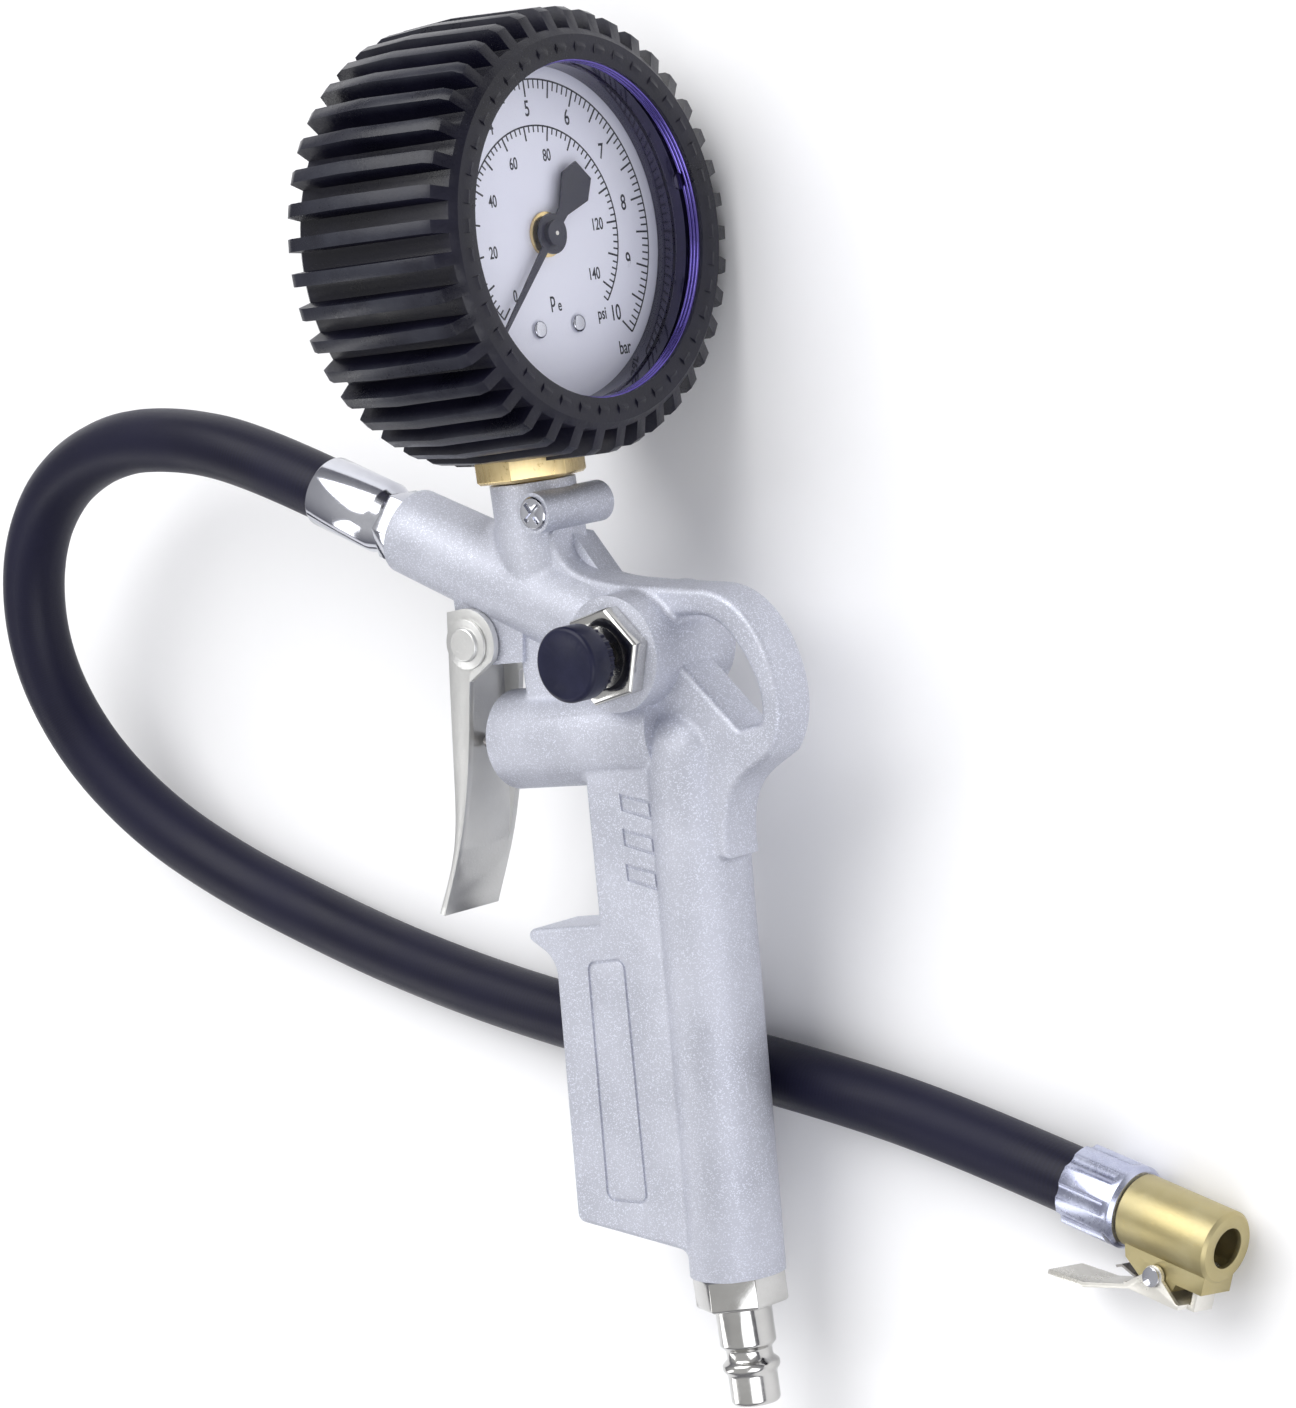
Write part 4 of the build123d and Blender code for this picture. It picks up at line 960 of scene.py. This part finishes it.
    def build(self) -> list[bpy.types.Object]:
        """Join the print into one piece on the dial's face.

        Returns:
            The finished pieces.
        """
        marks: list[bpy.types.Object] = []
        for scale in (self.bar, self.psi):
            marks += self.ticks(scale)
            marks.append(self.arc(scale))
            marks += self.numerals(scale)
        marks += [self.words(*label) for label in self.labels]
        bpy.context.view_layer.update()
        print_piece = joined(marks, "dial_print")
        bake_place(print_piece, GUN.dial_matrix(self.face + self.lift))
        dress(print_piece, PRINT_INK)
        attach(print_piece, "gauge")
        log.info("piece %s: %d faces", print_piece.name, len(print_piece.data.polygons))
        return [print_piece]


@dataclass
class BezelTrim:
    """Turned beads inside the bezel and the small stop tab on its edge. Lengths in millimetres."""

    bead_radius: float = 34.55
    bead_thickness: float = 0.42
    bead_places: tuple[float, ...] = (22.95, 23.85, 24.75)
    tab_reach: float = 33.2
    tab_size: float = 1.7
    tab_angle: float = 12.0

    def build(self) -> bpy.types.Object:
        """Model one bead, copy it to its places and add the tab.

        Returns:
            The finished trim.
        """
        clear_selection()
        bpy.ops.mesh.primitive_torus_add(
            major_radius=self.bead_radius * MM, minor_radius=self.bead_thickness * MM, major_segments=128,
            minor_segments=12)
        bead = bpy.context.object
        beads = []
        for place in self.bead_places:
            copy = bpy.data.objects.new("bead", bead.data.copy())
            bpy.context.scene.collection.objects.link(copy)
            bake_place(copy, GUN.dial_matrix(place))
            beads.append(copy)
        bpy.data.objects.remove(bead)
        clear_selection()
        bpy.ops.mesh.primitive_cylinder_add(vertices=32, radius=self.tab_size * MM, depth=0.8 * MM)
        tab = bpy.context.object
        tab.location = (self.tab_reach * MM * cos(radians(self.tab_angle)),
                        self.tab_reach * MM * sin(radians(self.tab_angle)), 0.0)
        apply_modifier(tab, "BEVEL", width=0.15 * MM, segments=2)
        bake_place(tab, GUN.dial_matrix(self.bead_places[0]))
        tab.data.materials.append(BLACK_PAINT.material())
        # the beads take the violet painted sheen, so they read as bright rings on the black bezel
        for copy in beads:
            copy.data.materials.append(VIOLET_PAINTED_SHEEN.material())
        trim = joined([*beads, tab], "bezel_trim")
        choose([trim])
        bpy.ops.object.shade_smooth_by_angle(angle=radians(35.0))
        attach(trim, "gauge")
        return trim


@dataclass
class PointerHub:
    """Brass bush under the pointer and the bright end of its arbor. Lengths in millimetres."""

    bush_radius: float = 4.7
    bush_from: float = 13.25
    bush_height: float = 0.7
    dot_radius: float = 0.45
    dot_from: float = 16.62
    dot_height: float = 0.12

    def turned(self, name: str, radius: float, start: float, height: float, edge: float) -> bpy.types.Object:
        """Turn a small disc on the dial's axis and round its edge.

        Args:
            name: Name of the disc.
            radius: Its radius.
            start: Where its back stands, from the gauge's centre.
            height: Its height.
            edge: How far its edge is rounded.

        Returns:
            The disc, not yet dressed.
        """
        clear_selection()
        bpy.ops.mesh.primitive_cylinder_add(vertices=64, radius=radius * MM, depth=height * MM)
        disc = bpy.context.object
        disc.name = name
        apply_modifier(disc, "BEVEL", width=edge * MM, segments=2, limit_method="ANGLE")
        bake_place(disc, GUN.dial_matrix(start + height / 2))
        choose([disc])
        bpy.ops.object.shade_smooth_by_angle(angle=radians(30.0))
        return disc

    def build(self) -> list[bpy.types.Object]:
        """Turn the bush and the arbor's end.

        Returns:
            Both pieces.
        """
        bush = self.turned("arbor_bush", self.bush_radius, self.bush_from, self.bush_height, 0.15)
        dress(bush, STEM_BRASS)
        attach(bush, "gauge")
        dot = self.turned("arbor_end", self.dot_radius, self.dot_from, self.dot_height, 0.04)
        dress(dot, CREAM_NICKEL)
        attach(dot, "pointer")
        return [bush, dot]


@dataclass
class Gauge:
    """Pressure gauge with its protector, stem and dial."""

    fin_edge: float = 0.35

    def build(self) -> list[bpy.types.Object]:
        """Build the protector and the stem, then print the dial.

        Returns:
            The finished pieces.
        """
        parts = [
            RigidPart("gauge_cap", CAP_RUBBER, BrokenEdges(self.fin_edge)),
            RigidPart("gauge_stem", STEM_BRASS, TURNED_EDGES),
            RigidPart("dial_screws", CHROME, DOMED_EDGES),
        ]
        pieces = [part.build() for part in parts] + Dial().build()
        return pieces + [BezelTrim().build()] + PointerHub().build()


@dataclass
class Chuck:
    """Clip-on tyre chuck at the hose's far end."""

    edge: float = 0.25

    def build(self) -> list[bpy.types.Object]:
        """Build the chuck's visible parts.

        Returns:
            The finished pieces.
        """
        edges = BrokenEdges(self.edge)
        parts = [
            RigidPart("chuck_ferrule", ZINC, edges),
            RigidPart("chuck_body", CHUCK_BRASS, edges),
            RigidPart("chuck_lever", CREAM_NICKEL, PRESSED_EDGES),
            RigidPart("chuck_pin", CHROME, RIVET_EDGES),
        ]
        return [part.build() for part in parts]


@dataclass
class Hose:
    """Rubber hose from the housing's nipple round and under the grip to the chuck."""

    radius: float = 7.0
    length: float = 453.7
    route: tuple[tuple[float, float, float], ...] = (
        (-58.7, 50.85, 41.07), (-79.7, 60.15, 42.13), (-102.0, 65.6, 41.6), (-127.0, 66.6, 39.0),
        (-150.0, 58.6, 35.6), (-164.6, 42.4, 31.4), (-169.0, 20.6, 26.4), (-162.0, -0.6, 20.6),
        (-147.4, -18.0, 14.6), (-128.4, -31.0, 9.6), (-105.6, -41.4, 7.1), (-80.0, -51.0, 7.0),
        (-50.0, -60.2, 7.0), (-16.0, -68.4, 7.0), (22.0, -76.0, 7.0), (56.0, -84.0, 7.2),
        (84.0, -92.4, 8.4), (106.0, -100.0, 9.0),
    )

    def build(self, on_it: Sequence[bpy.types.Object]) -> bpy.types.Object:
        """Lay the hose along its route.

        Args:
            on_it: The pieces at its far end. Not used.

        Returns:
            The hose.
        """
        curve = bpy.data.curves.new("hose_line", "CURVE")
        curve.dimensions = "3D"
        spline = curve.splines.new("NURBS")
        spline.points.add(len(self.route) - 1)
        for point, place in zip(spline.points, self.route):
            point.co = (*(Vector(place) * MM), 1.0)
        spline.order_u = 3
        spline.use_endpoint_u = True
        spline.resolution_u = 12
        curve.bevel_depth = self.radius * MM
        curve.bevel_resolution = 10
        curve.use_fill_caps = True
        hose = bpy.data.objects.new("rubber_hose", curve)
        bpy.context.scene.collection.objects.link(hose)
        dress(hose, HOSE_RUBBER)
        stand_for(hose, "hose")
        return hose


@dataclass(frozen=True)
class SoftBox:
    """Soft light that faces the object."""

    name: str
    place: tuple[float, float, float]
    size: tuple[float, float]
    power: float
    colour: tuple[float, float, float] = (1.0, 1.0, 1.0)

    def build(self) -> None:
        """Hang the light."""
        data = bpy.data.lights.new(self.name, "AREA")
        data.shape = "RECTANGLE"
        data.size, data.size_y = self.size
        data.energy = self.power
        data.color = self.colour
        lamp = bpy.data.objects.new(self.name, data)
        lamp.location = self.place
        lamp.rotation_euler = (-Vector(self.place)).to_track_quat("-Z", "Y").to_euler()
        bpy.context.scene.collection.objects.link(lamp)


@dataclass
class Studio:
    """Pale floor, soft lights and the camera."""

    floor_size: float = 12.0
    horizon: tuple[float, float, float] = (0.34, 0.34, 0.38)
    horizon_end: float = 0.05
    zenith_start: float = 0.80
    sky_strength: float = 0.62
    boxes: tuple[SoftBox, ...] = (
        SoftBox("key", (-0.25, 0.95, 1.25), (1.5, 1.5), 22.0),
        SoftBox("fill", (1.1, -0.8, 0.9), (1.1, 1.1), 9.0, (0.95, 0.96, 1.0)),
        SoftBox("rim", (-0.9, -0.5, 0.5), (0.2, 0.9), 1.6),
    )
    eye: tuple[float, float, float] = (0.8125, 0.0064, 0.9302)
    turn: tuple[float, float, float] = (-3.641, 41.309, -5.131)
    lens: float = 148.8

    def floor(self) -> None:
        """Lay a wide pale floor."""
        clear_selection()
        bpy.ops.mesh.primitive_plane_add(size=self.floor_size, location=(0, 0, -0.0002))
        floor = bpy.context.object
        floor.name = "studio_floor"
        bake_place(floor)
        dress(floor, STUDIO_PAPER)

    def sky(self) -> None:
        """Fill the room with soft light that is darker near the horizon."""
        world = bpy.data.worlds.new("studio")
        world.use_nodes = True
        board = Board(world.node_tree)
        back = world.node_tree.nodes["Background"]
        coords = board.add("ShaderNodeTexCoord")
        split = board.add("ShaderNodeSeparateXYZ")
        ramp = board.add("ShaderNodeValToRGB")
        board.join(coords.outputs["Generated"], split.inputs["Vector"])
        board.join(split.outputs["Z"], ramp.inputs["Fac"])
        board.join(ramp.outputs["Color"], back.inputs["Color"])
        low, high = ramp.color_ramp.elements
        low.color = rgba(self.horizon)
        low.position = self.horizon_end
        high.color = (1.0, 1.0, 1.0, 1.0)
        high.position = self.zenith_start
        back.inputs["Strength"].default_value = self.sky_strength
        bpy.context.scene.world = world

    def camera(self) -> None:
        """Set the camera up."""
        data = bpy.data.cameras.new("view")
        data.lens = self.lens
        data.sensor_width = 36.0
        data.clip_start = 0.05
        data.clip_end = 50.0
        eye = bpy.data.objects.new("view", data)
        eye.location = self.eye
        eye.rotation_euler = Euler([radians(angle) for angle in self.turn])
        bpy.context.scene.collection.objects.link(eye)
        bpy.context.scene.camera = eye

    def build(self) -> None:
        """Set up the whole studio."""
        self.floor()
        self.sky()
        for box in self.boxes:
            box.build()
        self.camera()
        bpy.context.scene.view_settings.view_transform = "Standard"


def dress_frame() -> None:
    """Give every CAD node that is still shown its slot's finish."""
    for name, node in frame["nodes"].items():
        dress(node, SLOT_FINISH[SLOT_OF[name]])


def main() -> None:
    """Build the inflator and its studio."""
    logging.basicConfig(level=logging.INFO, format="%(name)s %(message)s")
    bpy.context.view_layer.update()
    dress_frame()
    pieces = Housing().build() + Controls().build() + Gauge().build()
    chuck = Chuck().build()
    on_hose = chuck + [frame["nodes"][name] for name in ("chuck_depressor", "chuck_seal", "chuck_spring")
                       if name in frame["nodes"]]
    hose = Hose().build(on_hose)
    for piece in (*pieces, *chuck, hose):
        log.info("built %s", piece.name)
    Studio().build()


if __name__ == "__main__":
    main()
